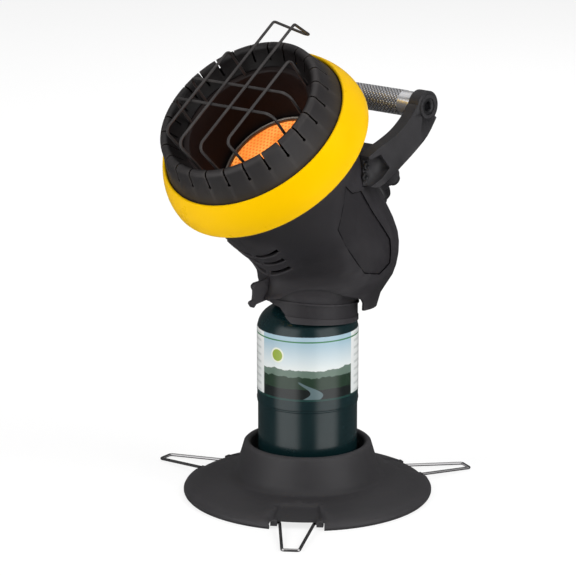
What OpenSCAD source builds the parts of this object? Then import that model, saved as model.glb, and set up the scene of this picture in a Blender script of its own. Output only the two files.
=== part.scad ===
// Portable propane heater: a radiant burner head that screws on top of a one pound gas
// bottle, which stands in a moulded base with three fold-out wire legs.
// Millimetres, +Z up, the burner faces -Y, the origin is in the middle of the footprint.

/* [Base] */
// Radius of the base skirt at the floor
skirt_r = 121.8; // [110:0.1:135]
// Radius where the skirt meets the collar
collar_foot_r = 72; // [68:0.5:80]
// Height of the rounded foot under the rim
foot_h = 2; // [1:0.1:3]
// Height of the foot of the collar
collar_foot_z = 17; // [14:0.5:24]
// Height of the top of the collar
collar_top_z = 51; // [44:0.5:60]
// Wall of the base moulding
base_wall = 2.6; // [2:0.1:4]
// Inner radius of the cup that holds the bottle
cup_r = 55.4; // [53:0.1:60]
// Height of the floor that carries the bottle
cup_floor_z = 10.5; // [9.5:0.1:14]

/* [Legs] */
// Diameter of the leg wire
leg_wire_d = 3; // [2.5:0.1:4]
// Distance of the leg tip from the bottle axis
leg_reach = 178.5; // [150:0.5:190]
// Half the width of a leg at its tip
leg_tip_half = 8; // [6:0.1:12]
// Half the width of a leg at its hinge
leg_root_half = 16.5; // [12:0.1:20]
// Turn of the front leg from the front of the heater
leg_turn = 37.3; // [0:0.1:60]

/* [Bottle] */
// Radius of the upper shell of the bottle
bottle_r = 49.2; // [48:0.1:50]
// Height of the shoulder where the straight wall ends
shoulder_z = 164.5; // [150:0.5:170]
// Radius of the knuckle between wall and crown
knuckle_r = 22; // [16:0.5:28]
// Height of the seam between the two shells
seam_z = 95; // [80:0.5:110]
// Lower edge of the paper label
label_low_z = 103.5; // [98:0.5:112]
// Upper edge of the paper label
label_high_z = 163.5; // [150:0.5:164]
// Outer radius of the threaded boss
boss_r = 12.65; // [12:0.01:13]

/* [Head] */
// Tilt of the burner axis above the horizon, in degrees
head_tilt = 49; // [40:0.5:60]
// How far the middle of the ring's front edge lies in front of the bottle axis
head_fwd = 77; // [60:0.5:90]
// Height of the middle of the ring's front edge
head_z = 372; // [340:0.5:390]
// Inner radius of the ring at its front edge
ring_front_r = 92.6; // [85:0.1:100]
// Largest radius of the ring
ring_rear_r = 104.2; // [95:0.1:112]
// Depth of the ring along the burner axis
ring_depth = 36; // [30:0.5:45]
// Radius of the crest of the heat cone's folded lip
lip_r = 78.5; // [74:0.1:82]
// Distance of the crest in front of the ring's front edge
lip_rise = 30.6; // [24:0.1:36]
// Number of slots in the folded lip
lip_slots = 26; // [18:1:36]
// Width of a lip slot
slot_w = 2.6; // [1.5:0.1:4]
// Radius of the reflector's rim
rim_r = 67; // [60:0.1:70]
// Radius of the glowing burner tile
tile_r = 51; // [45:0.1:54]
// Depth of the tile behind the ring's front edge
tile_depth = 49; // [40:0.5:60]

/* [Guard] */
// Diameter of the guard wire
guard_d = 2.8; // [2:0.1:3.5]
// Distance of the long wires in front of the ring's front edge
guard_rise = 49; // [36:0.5:56]
// How much the guard falls back towards its top, per millimetre
guard_slope = 0.068; // [0:0.001:0.1]
// Spacing of the long wires
guard_pitch = 26; // [20:0.5:32]
// Reach of the middle pair above the burner axis, where they bend back into a hook
hook_reach = 94.5; // [85:0.5:98]

/* [Housing] */
// Wall of the housing halves
shell_wall = 2.6; // [2:0.1:3.2]
// Points round one section of the housing
shell_points = 48; // [32:4:64]
// Sections between two driving sections of the housing
shell_steps = 2; // [1:1:3]
// Gap between the two halves at the seam
seam_gap = 0.3; // [0.1:0.1:0.6]
// Outer radius of the neck collar
neck_r = 49.3; // [49:0.1:50]
// Width of the slits in the front vents
vent_h = 3.4; // [2:0.1:5]

/* [Handle] */
// Distance of the arms' outer faces from the middle of the heater
arm_x = 85; // [80:0.5:92]
// Thickness of an arm
arm_t = 12; // [10:0.5:15]
// Distance of the bar behind the bottle axis
bar_y = 75.5; // [65:0.5:90]
// Height of the bar
bar_z = 382.5; // [370:0.5:395]
// Diameter of the handle bar
bar_d = 24; // [20:0.5:28]

/* [Controls] */
// Radius of the gas knob
knob_r = 16; // [13:0.5:20]
// Depth of the gas knob
knob_h = 15; // [10:0.5:20]
// Tilt of the knob's axis above the horizon, in degrees
knob_tilt = 25; // [0:1:40]
// Height of the knob's axis where it leaves the housing
knob_z = 279; // [270:0.5:290]
// Radius of the ignition button
button_r = 6.2; // [5:0.1:8]
// Travel of the ignition button
button_travel = 4; // [2:0.5:6]

/* [Hidden] */
$fn = 96;

// Footprint: the rim, the round corners of the leg tips and the guard's lower front bend
// set its middle.
leg_turns = [leg_turn, leg_turn + 120, leg_turn - 120];
leg_bend = 2.4;
tip_in = leg_reach - leg_wire_d / 2 - leg_bend;
tip_out = leg_bend + leg_wire_d / 2;
tip_side = leg_tip_half - leg_bend * tan(41);
tip_x = [for (a = leg_turns) for (s = [-1, 1]) tip_in * sin(a) + s * tip_side * cos(a)];
tip_y = [for (a = leg_turns) for (s = [-1, 1]) -tip_in * cos(a) + s * tip_side * sin(a)];

// Legs
hinge_r = 112;
hinge_z = 3.4;
hinge_pin = 7;
leg_wire_r = leg_wire_d / 2;

// Head: its own frame has the burner axis as +Z and the top of the head as +Y.
head_lean = 90 - head_tilt;
guard_r = guard_d / 2;
join_in = 0.2;
join_step = 0.03;
fold_r = 4.6;
sheet = 1.2;
rim_rise = 11;

// Foremost point of the guard: the lower bend of the hooked pair
function guard_corner() = let (h = sqrt(pow(rim_r - 2.6, 2) - pow(guard_pitch / 2, 2)))
    [-h - 4, guard_rise + guard_slope * h];
guard_bend = 7;
guard_back = unit([-sqrt(pow(rim_r - 2.6, 2) - pow(guard_pitch / 2, 2)), rim_rise - 0.7]
    - guard_corner());
guard_ahead = unit([hook_reach, guard_rise - guard_slope * hook_reach] - guard_corner());
guard_centre = guard_corner() + unit(guard_back + guard_ahead)
    * guard_bend / sin(acos(guard_back * guard_ahead) / 2);
guard_front = head_fwd - guard_centre[0] * sin(head_tilt) + guard_centre[1] * cos(head_tilt)
    + guard_bend + guard_r;
axis_x = -(skirt_r + min(tip_x) - tip_out) / 2;
axis_y = -(max(tip_y) + tip_out - guard_front) / 2;

// Housing: the ring seat and the plane of the neck
seat_back = 32;
seat_r = 89;
neck_tilt = 5;
knob_y = 88;
foot_inset = 0.4;

function head_point(y, s) = [
    -head_fwd + y * sin(head_tilt) - s * cos(head_tilt),
    head_z + y * cos(head_tilt) + s * sin(head_tilt)];

// Driving sections of the housing, each [front y, front z, back y, back z, half width, taper].
// The taper draws in the front half only.
// The first stands square to the burner axis behind the ring, the last is the open skirt.
SECTIONS = [
    concat(head_point(-seat_r, -seat_back), head_point(seat_r, -seat_back), [seat_r, 0]),
    concat(head_point(-84, -60), head_point(79, -60), [84, 0]),
    concat(head_point(-80, -93), head_point(70, -93), [79, 0.02]),
    [-58.6, 235, 57.5, 317.4, 74.5, 0.11],
    [-55, 227, 79.9, 287, 73.3, 0.26],
    [-54, 221, 95.3, 262, 72.1, 0.41],
    [-55.2, 215.5, 100.3, 238, 69.2, 0.5],
    [-57.9, 210.5, 96.4, 215, 64.4, 0.55],
    [-62.3, 205.5, 83.2, 193, 56.2, 0.5],
    [-65.3, 200, 76.5, 169, 53.5, 0.4]];

function clamp_at(list, i) = list[max(0, min(len(list) - 1, i))];

// Smooth curve through the driving sections
function blend(a, b, c, d, u) = 0.5 * (2 * b + (c - a) * u
    + (2 * a - 5 * b + 4 * c - d) * u * u + (3 * b - a - 3 * c + d) * u * u * u);

function smooth_rows(rows, steps) = [for (i = [0:len(rows) - 2]) for (k = [0:steps - 1])
    blend(clamp_at(rows, i - 1), rows[i], rows[i + 1], clamp_at(rows, i + 2), k / steps),
    rows[len(rows) - 1]];

function inset_row(r, t) = let (v = [r[2] - r[0], r[3] - r[1]], n = v / norm(v))
    [r[0] + n[0] * t, r[1] + n[1] * t, r[2] - n[0] * t, r[3] - n[1] * t, r[4] - t, r[5]];

function shift_row(r, dz) = [r[0], r[1] + dz, r[2], r[3] + dz, r[4], r[5]];

function row_ring(r, n) = [for (i = [0:n - 1]) let (a = 360 * i / n, c = cos(a))
    [r[4] * sin(a) * (1 - r[5] * pow(max(0, c), 2)),
     (r[0] + r[2]) / 2 - (r[2] - r[0]) / 2 * c,
     (r[1] + r[3]) / 2 - (r[3] - r[1]) / 2 * c]];

// Closed skin through a list of section rings that all have the same number of points
module skin(rings) {
    n = len(rings[0]);
    m = len(rings);
    pts = [for (r = rings) each r];
    sides = [for (j = [0:m - 2]) for (i = [0:n - 1]) let (k = (i + 1) % n)
        each [[j * n + i, j * n + k, (j + 1) * n + i],
              [j * n + k, (j + 1) * n + k, (j + 1) * n + i]]];
    ends = [[for (i = [n - 1:-1:0]) i], [for (i = [0:n - 1]) (m - 1) * n + i]];
    polyhedron(points = pts, faces = concat(sides, ends), convexity = 6);
}

// Heights are taken from the edge of the rim, which stands on its rounded foot.
module at_axis() {
    translate([axis_x, axis_y, foot_h]) children();
}

module on_head() {
    at_axis() translate([0, -head_fwd, head_z]) rotate([head_lean, 0, 0]) children();
}

module tube(r_out, r_in, h) {
    difference() {
        cylinder(r = r_out, h = h);
        translate([0, 0, -1]) cylinder(r = r_in, h = h + 2);
    }
}

// Round bar between two points
module rod(p, q, r) {
    v = q - p;
    translate(p) rotate([0, acos(v[2] / norm(v)), atan2(v[1], v[0])])
        cylinder(r = r, h = norm(v), $fn = 24);
}

function unit(v) = v / norm(v);

// Bend of a round bar: it starts at p along d1 and leaves along d2
module elbow(p, d1, d2, bend, r) {
    turn = acos(d1 * d2);
    side = unit(d2 - d1 * (d1 * d2));
    up = cross(d1, side);
    multmatrix([
        [-side[0], d1[0], up[0], p[0] + bend * side[0]],
        [-side[1], d1[1], up[1], p[1] + bend * side[1]],
        [-side[2], d1[2], up[2], p[2] + bend * side[2]],
        [0, 0, 0, 1]])
        rotate_extrude(angle = turn, $fn = 48)
            translate([bend, 0]) circle(r = r, $fn = 24);
}

// Bent wire through a list of points: each bend is a hair fatter than the wire, and the
// straight lengths reach a little way into it, so that all of it joins into one solid
module bent_wire(pts, bend, r) {
    n = len(pts);
    bends = is_list(bend) ? bend : [for (i = [1:n - 2]) bend];
    dirs = [for (i = [0:n - 2]) unit(pts[i + 1] - pts[i])];
    cut = [for (i = [0:n - 1]) (i == 0 || i == n - 1) ? 0
        : bends[i - 1] * tan(acos(dirs[i - 1] * dirs[i]) / 2)];
    for (i = [0:n - 2])
        rod(pts[i] + dirs[i] * (cut[i] - (i > 0 ? join_in : 0)),
            pts[i + 1] - dirs[i] * (cut[i + 1] - (i < n - 2 ? join_in : 0)), r);
    for (i = [1:n - 2])
        elbow(pts[i] - dirs[i - 1] * cut[i], dirs[i - 1], dirs[i], bends[i - 1], r + join_step);
}

// ---------------------------------------------------------------- base

// Height of the skirt's outer face at a radius
skirt_line = [[collar_foot_r, collar_foot_z], [90, 14.6], [105, 10.8], [116, 6.8],
    [120.6, 4.6], [skirt_r, 2.4]];

module base_profile() {
    rim_r0 = (collar_top_r + cup_r + base_wall) / 2;
    polygon(concat(
        [[skirt_r - base_wall - 2, 1.2], [skirt_r - base_wall - 2, -foot_h],
         [skirt_r - 1.6, -foot_h], [skirt_r - 0.5, 0.3 - foot_h / 2], [skirt_r, 0.6]],
        [for (i = [len(skirt_line) - 1:-1:0]) skirt_line[i]],
        [for (a = [0:30:180]) [rim_mid + rim_half * cos(a), collar_top_z - rim_half
            + rim_half * sin(a)]],
        [[cup_r, cup_floor_z], [26, cup_floor_z], [26, cup_floor_z - base_wall],
         [cup_r + base_wall, cup_floor_z - base_wall],
         [cup_r + base_wall, collar_top_z - 7], [collar_top_r - 3.4, collar_top_z - 7],
         [collar_foot_r - base_wall - 0.6, collar_foot_z - base_wall + 0.4]],
        [for (i = [1:len(skirt_line) - 2]) skirt_line[i] - [base_wall * 0.35, base_wall]]));
}

collar_top_r = 63;
rim_half = (collar_top_r - cup_r) / 2;
rim_mid = (collar_top_r + cup_r) / 2;
panel_in_r = 90;
panel_in_half = 19;
panel_out_half = 24.5;
notch_half = 27;
notch_h = 7.2;
panel_drop = 1.4;

module base_skirt() {
    color("#3a383c") at_axis() {
        difference() {
            union() {
                rotate_extrude() base_profile();
                for (a = leg_turns) rotate([0, 0, a]) panel_backing();
            }
            for (a = leg_turns) rotate([0, 0, a]) panel_cut();
        }
        for (a = leg_turns) rotate([0, 0, a]) hinge_blocks();
        for (i = [0:11]) rotate([0, 0, 30 * i + 7]) translate([0, -1, cup_floor_z - 0.5])
            cube_from([49.5, 0, 0], [cup_r + 0.8, 2, 30]);
    }
}

module cube_from(p, q) {
    translate(p) cube(q - p);
}

// Thickened band under each recessed panel, so that the recess keeps a full wall
module panel_backing() {
    intersection() {
        rotate_extrude() polygon(concat(
            [for (p = skirt_line) p - [0, 0.6]],
            [for (i = [len(skirt_line) - 1:-1:0]) [skirt_line[i][0] - 0.6,
                max(2.4, skirt_line[i][1] - base_wall - panel_drop)]]));
        translate([0, 0, -1]) linear_extrude(30) polygon([
            [-panel_out_half - 4, -skirt_r - 2], [panel_out_half + 4, -skirt_r - 2],
            [panel_in_half + 4, -panel_in_r + 5], [-panel_in_half - 4, -panel_in_r + 5]]);
    }
}

// Recessed trapezoid panel above a leg, and the notch in the bottom edge below it
module panel_cut() {
    intersection() {
        rotate_extrude() polygon(concat(
            [for (p = skirt_line) p - [0, panel_drop]],
            [[skirt_r + 3, -5], [skirt_r + 3, 30], [collar_foot_r, 30]]));
        translate([0, 0, -6]) linear_extrude(40) polygon([
            [-panel_out_half, -skirt_r - 4], [panel_out_half, -skirt_r - 4],
            [panel_in_half, -panel_in_r], [-panel_in_half, -panel_in_r]]);
    }
    translate([0, 0, -foot_h - 1]) linear_extrude(notch_h + 1) polygon([
        [-notch_half, -skirt_r - 4], [notch_half, -skirt_r - 4],
        [notch_half - 1.5, -hinge_r + 4.6], [-notch_half + 1.5, -hinge_r + 4.6]]);
}

// Two blocks behind a notch, each with the bore for one end of the leg wire
module hinge_blocks() {
    for (s = [-1, 1]) difference() {
        translate([s * (leg_root_half + 5.4), -hinge_r, 0]) translate([-3.2, -3.4, 0.6])
            cube([6.4, 6.4, 6.2]);
        translate([s * (leg_root_half + 1), -hinge_r, hinge_z])
            rotate([0, s * 90, 0]) cylinder(r = leg_wire_r + 0.08, h = 12, $fn = 48);
    }
}

// One leg: a trapezoid loop of wire whose two ends hook outward into the hinge blocks
module wire_leg(turn) {
    tip = [leg_tip_half, -leg_reach + leg_wire_r, leg_wire_r + 0.03 - foot_h];
    root = [leg_root_half, -hinge_r, hinge_z];
    color("#c8c8cc") at_axis() rotate([0, 0, turn])
        bent_wire([root + [hinge_pin, 0, 0], root, tip, [-tip[0], tip[1], tip[2]],
            [-root[0], root[1], root[2]], [-root[0] - hinge_pin, root[1], root[2]]],
            leg_bend, leg_wire_r);
}

// ---------------------------------------------------------------- bottle

can_t = 1.2;
crown_z = shoulder_z + knuckle_r;
crown_in_r = bottle_r - knuckle_r;
crown_rise = 7;
lower_r = bottle_r - 0.7;

module bottle_lower_shell() {
    // Drawn cup with a domed foot, rolled in at the seam
    color("#12292d") at_axis() rotate_extrude() polygon(concat(
        [[0, cup_floor_z + 7], [30, cup_floor_z + 5]],
        [for (a = [-90:15:0]) [lower_r - 12 + 12 * cos(a), cup_floor_z + 16 + 12 * sin(a)]],
        [[lower_r, seam_z - 4], [lower_r + 0.5, seam_z - 2.6], [lower_r, seam_z - 1.2],
         [lower_r, seam_z], [lower_r - can_t, seam_z]],
        [for (a = [0:-15:-90]) [lower_r - 12 + (12 - can_t) * cos(a),
            cup_floor_z + 16 + (12 - can_t) * sin(a)]],
        [[30, cup_floor_z + 5 + can_t], [0, cup_floor_z + 7 + can_t]]));
}

module bottle_upper_shell() {
    // Slips over the lower cup with a small outward step, then rounds into the crown
    color("#12292d") at_axis() rotate_extrude() polygon(concat(
        [[lower_r + 0.02, seam_z - 0.6], [bottle_r + 0.35, seam_z - 0.6],
         [bottle_r + 0.35, seam_z + 1.6], [bottle_r, seam_z + 2.4]],
        [for (a = [0:7.5:90]) [crown_in_r + knuckle_r * cos(a),
            shoulder_z + knuckle_r * sin(a)]],
        [[17, crown_z + crown_rise - 1.5], [boss_r - 2, crown_z + crown_rise],
         [boss_r - 2, crown_z + crown_rise - can_t], [17, crown_z + crown_rise - 1.5 - can_t]],
        [for (a = [90:-15:0]) [crown_in_r + (knuckle_r - can_t) * cos(a),
            shoulder_z + (knuckle_r - can_t) * sin(a)]],
        [[bottle_r - can_t, seam_z + 2.4], [lower_r + 0.02, seam_z + 1.6]]));
}

module bottle_foot_ring() {
    color("#12292d") at_axis() rotate_extrude() polygon([
        [38, cup_floor_z + 0.1], [45.5, cup_floor_z + 0.1], [46.2, cup_floor_z + 0.9],
        [44.7, cup_floor_z + 7.1], [43.4, cup_floor_z + 6.1], [44.2, cup_floor_z + 1.7],
        [38, cup_floor_z + 1.5]]);
}

module bottle_label() {
    color("#b9cfd4") at_axis() translate([0, 0, label_low_z])
        tube(bottle_r + 0.25, bottle_r, label_high_z - label_low_z);
}

boss_top_z = crown_z + crown_rise + 15;

module bottle_boss() {
    // Threaded boss with a collar that is welded to the crown
    color("#b9a25a") at_axis() difference() {
        union() {
            translate([0, 0, crown_z + crown_rise - 5]) cylinder(r = boss_r - 2.1, h = 6);
            translate([0, 0, crown_z + crown_rise]) cylinder(r1 = 16.5, r2 = 14.5, h = 2.4);
            translate([0, 0, crown_z + crown_rise + 2]) cylinder(r = boss_r, h = 13);
        }
        translate([0, 0, crown_z + crown_rise - 6]) cylinder(r = 4, h = 30);
        translate([0, 0, boss_top_z - 4]) cylinder(r = 8.6, h = 6);
    }
}

module bottle_valve_core() {
    color("#b9a25a") at_axis() {
        translate([0, 0, crown_z + crown_rise - 4]) cylinder(r = 3.92, h = 13);
        translate([0, 0, crown_z + crown_rise + 9]) cylinder(r = 1.6, h = 4);
    }
}

module bottle_relief_valve() {
    // Small safety valve beside the boss, below the collar
    color("#b9a25a") at_axis() rotate([0, 0, 150]) translate([22, 0, crown_z + 2.9])
        rotate([0, 28, 0]) {
            cylinder(r = 4, h = 3.4, $fn = 6);
            cylinder(r = 2.4, h = 5.4);
        }
}

// ---------------------------------------------------------------- housing

shell_rows = smooth_rows(SECTIONS, shell_steps);
// The funnel closes the body above the neck, from the wall down to the neck collar.
FUNNEL = [
    [-53, 220.5, 89.6, 205, 62.6, 0.5],
    [-50.4, 212, 66, 199, 55, 0.25],
    [-48.6, 205.5, 50.4, 194.5, 49.6, 0],
    [-48.5, 201, 48.5, 189.6, 48.5, 0]];

module housing() {
    difference() {
        union() {
            skin([for (r = shell_rows) row_ring(r, shell_points)]);
            for (s = [-1, 1]) arm_pad(s);
            knob_boss();
        }
        screw_holes();
        skin([for (r = concat([shift_row(SECTIONS[0], 6)], SECTIONS,
            [shift_row(SECTIONS[9], -6)])) row_ring(inset_row(r, shell_wall), shell_points)]);
        for (s = [-1, 1]) arm_seat(s);
        side_arch();
        front_vents();
        side_panels();
        knob_hole();
        igniter_bore();
        lead_slot();
    }
    for (s = [-1, 1]) arm_backing(s);
    neck();
    screw_bosses($fn = 32);
}

// Upright round wall between two sloping planes
module sloped_wall(r, z_low, tilt_low, z_high, tilt_high) {
    difference() {
        translate([0, 0, z_low - 12]) cylinder(r = r, h = z_high - z_low + 24);
        translate([0, 0, z_low]) rotate([-tilt_low, 0, 0]) translate([-60, -60, -60])
            cube([120, 120, 60]);
        translate([0, 0, z_high]) rotate([-tilt_high, 0, 0]) translate([-60, -60, 0])
            cube([120, 120, 60]);
    }
}

// Funnel and neck collar: a flange on top, a thicker band along the lower edge
module neck() {
    $fn = shell_points;
    difference() {
        union() {
            skin([for (r = smooth_rows(FUNNEL, 2)) row_ring(r, shell_points)]);
            sloped_wall(48.6, neck_low_z, neck_tilt, flange_z + 2, flange_tilt);
            sloped_wall(neck_r, neck_low_z, neck_tilt, band_z, flange_tilt);
            sloped_wall(neck_r + 0.6, flange_z - 1.6, flange_tilt, flange_z, flange_tilt);
        }
        skin([for (r = concat([shift_row(FUNNEL[0], 4)], FUNNEL,
            [shift_row(FUNNEL[3], -4)])) row_ring(inset_row(r, 1.7), shell_points)]);
        translate([0, 0, 150]) cylinder(r = 46.8, h = 55);
        sloped_wall(48.2, neck_low_z - 12, neck_tilt, band_z + 1, flange_tilt);
        neck_opening();
    }
}

neck_low_z = 176.5;
band_z = 181.7;
flange_z = 196.2;
flange_tilt = 6.9;
opening_turn = -40;

module neck_opening() {
    // Bell-shaped opening in the collar: wide below, closed by the flange above
    rotate([0, 0, opening_turn]) rotate([90, 0, 0]) linear_extrude(80) polygon([
        [-45.4, 150], [-45.4, 178.4], [-42.9, 182.9], [-39.8, 189.2], [-36.7, 195],
        [-26.5, 198.6], [26.5, 198.6], [36.7, 195], [39.8, 189.2], [42.9, 182.9],
        [45.4, 178.4], [45.4, 150]]);
}

module side_arch() {
    // Arch in each side that shows the neck; behind it the skirt hangs down to a level edge
    translate([-100, 0, 0]) rotate([90, 0, 90]) linear_extrude(200) polygon([
        [-90, 150], [-90, 204.3], [-60, 205], [-55, 205.6], [-49.5, 209.2], [-43, 212.6],
        [-36.5, 214.2], [-27, 214.2], [-20, 212.6], [-15, 210.2], [-7, 206.6], [5, 203],
        [12, 200.8], [17, 198], [20.5, 193.5], [22, 186], [60, 181.7], [90, 179.5],
        [90, 150]]);
}

module arm_pad(s) {
    // Raised pad that carries the foot of a handle arm
    mirror([s < 0 ? 1 : 0, 0, 0]) translate([40, 0, 0]) rotate([90, 0, 90])
        linear_extrude(arm_x - arm_t - 40) polygon([
            [-22, 336], [-6, 350], [22, 351], [30, 336], [17, 318], [-4, 312]]);
}

// Room that the foot of an arm takes out of the wall
module arm_seat(s) {
    mirror([s < 0 ? 1 : 0, 0, 0]) translate([arm_x - arm_t - 0.05, 0, 0])
        rotate([90, 0, 90]) linear_extrude(30) polygon([
            [-9.5, 347], [5, 353], [21, 358.5], [40, 367], [60, 345], [40, 329], [22, 319],
            [6, 313.5], [-9.5, 316.5]]);
}

// Wall behind that seat
module arm_backing(s) {
    difference() {
        intersection() {
            mirror([s < 0 ? 1 : 0, 0, 0]) translate([arm_x - arm_t - 3, 0, 0])
                rotate([90, 0, 90]) linear_extrude(2.95) polygon([
                    [-13, 346], [-2, 352], [24, 352], [24, 318], [-4, 312], [-13, 316]]);
            skin([for (r = SECTIONS) row_ring(inset_row(r, 0.4), shell_points)]);
        }
        screw_holes();
        igniter_bore();
        lead_slot();
    }
}

// Bore for the igniter, and room for the socket that the right arm holds it in
module igniter_bore() {
    igniter_axis() {
        translate([0, 0, -46]) cylinder(r = 5.3, h = 70, $fn = 32);
        translate([0, 0, -16.4]) cylinder(r = 10.4, h = 40, $fn = 32);
    }
}

module knob_axis() {
    translate([0, knob_y, knob_z]) rotate([knob_tilt - 90, 0, 0]) children();
}

module knob_boss() {
    knob_axis() translate([0, 0, -22]) cylinder(r = 14, h = 26, $fn = 48);
}

module knob_hole() {
    knob_axis() {
        translate([0, 0, -60]) cylinder(r = 11.4, h = 61, $fn = 48);
        translate([0, 0, -1]) cylinder(r = 6, h = 30, $fn = 32);
    }
}

// Tubes across the seam for the screws that draw the halves together
module screw_bosses() {
    for (p = screw_spots) translate([-boss_half, p[0], p[1]]) rotate([0, 90, 0])
        tube(5.4, 1.75, 2 * boss_half);
}

// Holes for the arm screws, and the deep holes through which the seam screws go in
module screw_holes() {
    for (s = [-1, 1]) mirror([s < 0 ? 1 : 0, 0, 0]) for (p = arm_screws)
        translate([54, p[0], p[1]]) rotate([0, 90, 0]) cylinder(r = 2.3, h = 22, $fn = 32);
    for (p = screw_spots) translate([-110, p[0], p[1]]) rotate([0, 90, 0])
        cylinder(r = 3.8, h = 110 - boss_half, $fn = 32);
}

vent_count = 3;
vent_pitch = 14.2;
vent_curve = 62;

module front_vents() {
    // Curved slits across the lower front, rising to both sides of the seam
    translate([0, -head_fwd - 60 * sin(head_tilt), head_z - 60 * cos(head_tilt)])
        rotate([head_lean + 90, 0, 0]) linear_extrude(50)
            for (i = [0:vent_count - 1]) translate([0, vent_curve - 93 - vent_pitch * i])
                intersection() {
                    difference() {
                        circle(r = vent_curve + vent_h / 2);
                        circle(r = vent_curve - vent_h / 2);
                    }
                    for (s = [-1, 1]) mirror([s < 0 ? 1 : 0, 0])
                        translate([3, -vent_curve - 4]) square([30 - 3 * i, 20]);
                }
}

panel_depth = 1.1;

module side_panels() {
    // Shallow six-sided panel sunk into each side
    difference() {
        for (s = [-1, 1]) mirror([s < 0 ? 1 : 0, 0, 0]) translate([30, 0, 0])
            rotate([90, 0, 90]) linear_extrude(80) polygon([
                [-38.7, 280], [-40, 323], [-27.5, 314], [-11.7, 313], [-4.3, 305],
                [21.3, 278.5], [42, 256], [44, 232], [27, 224], [6.5, 228.6], [0, 236]]);
        skin([for (r = shell_rows) row_ring(inset_row(r, panel_depth), shell_points)]);
    }
}

module half_space(s) {
    translate([s > 0 ? seam_gap / 2 : -200 - seam_gap / 2, -250, 100]) cube([200, 500, 400]);
}

module housing_left() {
    color("#38363a") at_axis() {
        intersection() {
            housing();
            half_space(-1);
        }
        front_hook();
    }
}

module housing_right() {
    color("#38363a") at_axis() intersection() {
        housing();
        half_space(1);
    }
}

module front_hook() {
    // Thin hooked plate on the left half, in front of the neck, with a barb below
    translate([-3.45, 0, 0]) rotate([90, 0, 90]) linear_extrude(3.3) polygon([
        [-52, 225], [-63, 222.6], [-73.5, 222.2], [-76.6, 220.4], [-76.8, 218.2],
        [-74.8, 215], [-74.8, 211.3], [-75.6, 206], [-80, 204.8], [-80.6, 203],
        [-77.6, 199], [-75.2, 198.4], [-72, 201.2], [-56, 203]]);
}

screw_spots = [[-92, 275], [23, 363.5], [90, 248]];
boss_half = 13;

module housing_screws() {
    // Screws that draw the halves together; their heads lie in the left half
    color("#1c1c1e") at_axis() for (p = screw_spots)
        translate([-boss_half, p[0], p[1]]) rotate([0, 90, 0]) difference() {
            union() {
                cylinder(r = 1.7, h = 2 * boss_half - 3, $fn = 24);
                translate([0, 0, -2.4]) cylinder(r = 3.2, h = 2.35, $fn = 32);
            }
            for (a = [0, 90]) rotate([0, 0, a]) translate([-2, -0.4, -3]) cube([4, 0.8, 1.6]);
        }
}

// ---------------------------------------------------------------- ring, cone and burner

module shroud_ring() {
    // Wide rounded ring that keeps hands off the hot cone
    color("#ffcf00") on_head() rotate_extrude($fn = 128) polygon(concat(
        [[ring_front_r, -8], [ring_front_r, -1.2]],
        [for (a = [180:-30:60]) [ring_front_r + 1.7 + 1.7 * cos(a), -1.2 + 1.7 * sin(a)]],
        [for (u = [0:0.125:1]) [ring_front_r + 3.4
            + (ring_rear_r - ring_front_r - 3.4) * pow(sin(90 * u), 0.9),
            -1.4 - (ring_depth - 9) * u]],
        [for (a = [0:22.5:90]) [ring_rear_r - 4 + 4 * cos(a), -ring_depth + 4 - 4 * sin(a)]],
        [[ring_rear_r - 6, -ring_depth], [seat_r + 1.5, -ring_depth],
         [seat_r + 1.5, -ring_depth + 2.4], [ring_rear_r - 5.4, -ring_depth + 2.6],
         [ring_rear_r - 2.9, -ring_depth + 6], [ring_rear_r - 3, -24],
         [ring_front_r + 4, -8]]));
}

module heat_cone() {
    // Sheet-metal cone, folded in at the lip, slotted so that the hot lip can grow
    color("#3e3d3e") on_head() difference() {
        rotate_extrude($fn = 128) polygon(concat(
            [[ring_front_r - 0.3, -10], [ring_front_r - 0.3, -3]],
            [for (a = [0:22.5:180]) [lip_r + fold_r * cos(a),
                lip_rise - fold_r + fold_r * sin(a)]],
            [[rim_r - 0.2, rim_rise + 0.6], [rim_r + 0.6, rim_rise - 0.2]],
            [for (a = [180:-22.5:0]) [lip_r + (fold_r - sheet) * cos(a),
                lip_rise - fold_r + (fold_r - sheet) * sin(a)]],
            [[ring_front_r - 0.3 - sheet, -3.4], [ring_front_r - 0.3 - sheet, -10]]));
        for (i = [0:lip_slots - 1]) rotate([0, 0, 360 / lip_slots * i + 4.6])
            translate([lip_r - 9, -slot_w / 2, lip_rise - 14]) cube([20, slot_w, 20]);
    }
}

module reflector_bowl() {
    // Deep dark bowl that throws the heat forward
    color("#2a2322") on_head() rotate_extrude($fn = 128) polygon([
        [rim_r + 1.6, rim_rise - 1.8], [rim_r + 1.6, rim_rise - 0.8],
        [rim_r - 3.8, rim_rise - 0.8], [rim_r - 5, rim_rise - 2], [rim_r - 5, -8],
        [tile_r + 5.6, -tile_depth + 2], [tile_r + 4.6, -tile_depth - 6],
        [tile_r + 5.6, -tile_depth - 6], [tile_r + 6.7, -tile_depth + 2],
        [rim_r - 3.9, -8], [rim_r - 3.9, rim_rise - 2.6], [rim_r - 3.2, rim_rise - 1.8]]);
}

module burner_tile() {
    // Drilled ceramic plaque; only a ring of its real rows of holes is cut
    color("#ff9628") on_head() translate([0, 0, -tile_depth - 12]) difference() {
        cylinder(r = tile_r, h = 12);
        for (i = [0:11]) rotate([0, 0, 30 * i]) translate([20, 0, 8.5])
            cylinder(r = 0.9, h = 5, $fn = 16);
    }
}

module burner_rim() {
    color("#b8b4aa") on_head() translate([0, 0, -tile_depth - 3]) difference() {
        cylinder(r = tile_r + 4.2, h = 5);
        translate([0, 0, -1]) cylinder(r = tile_r + 0.1, h = 8);
    }
}

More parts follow.
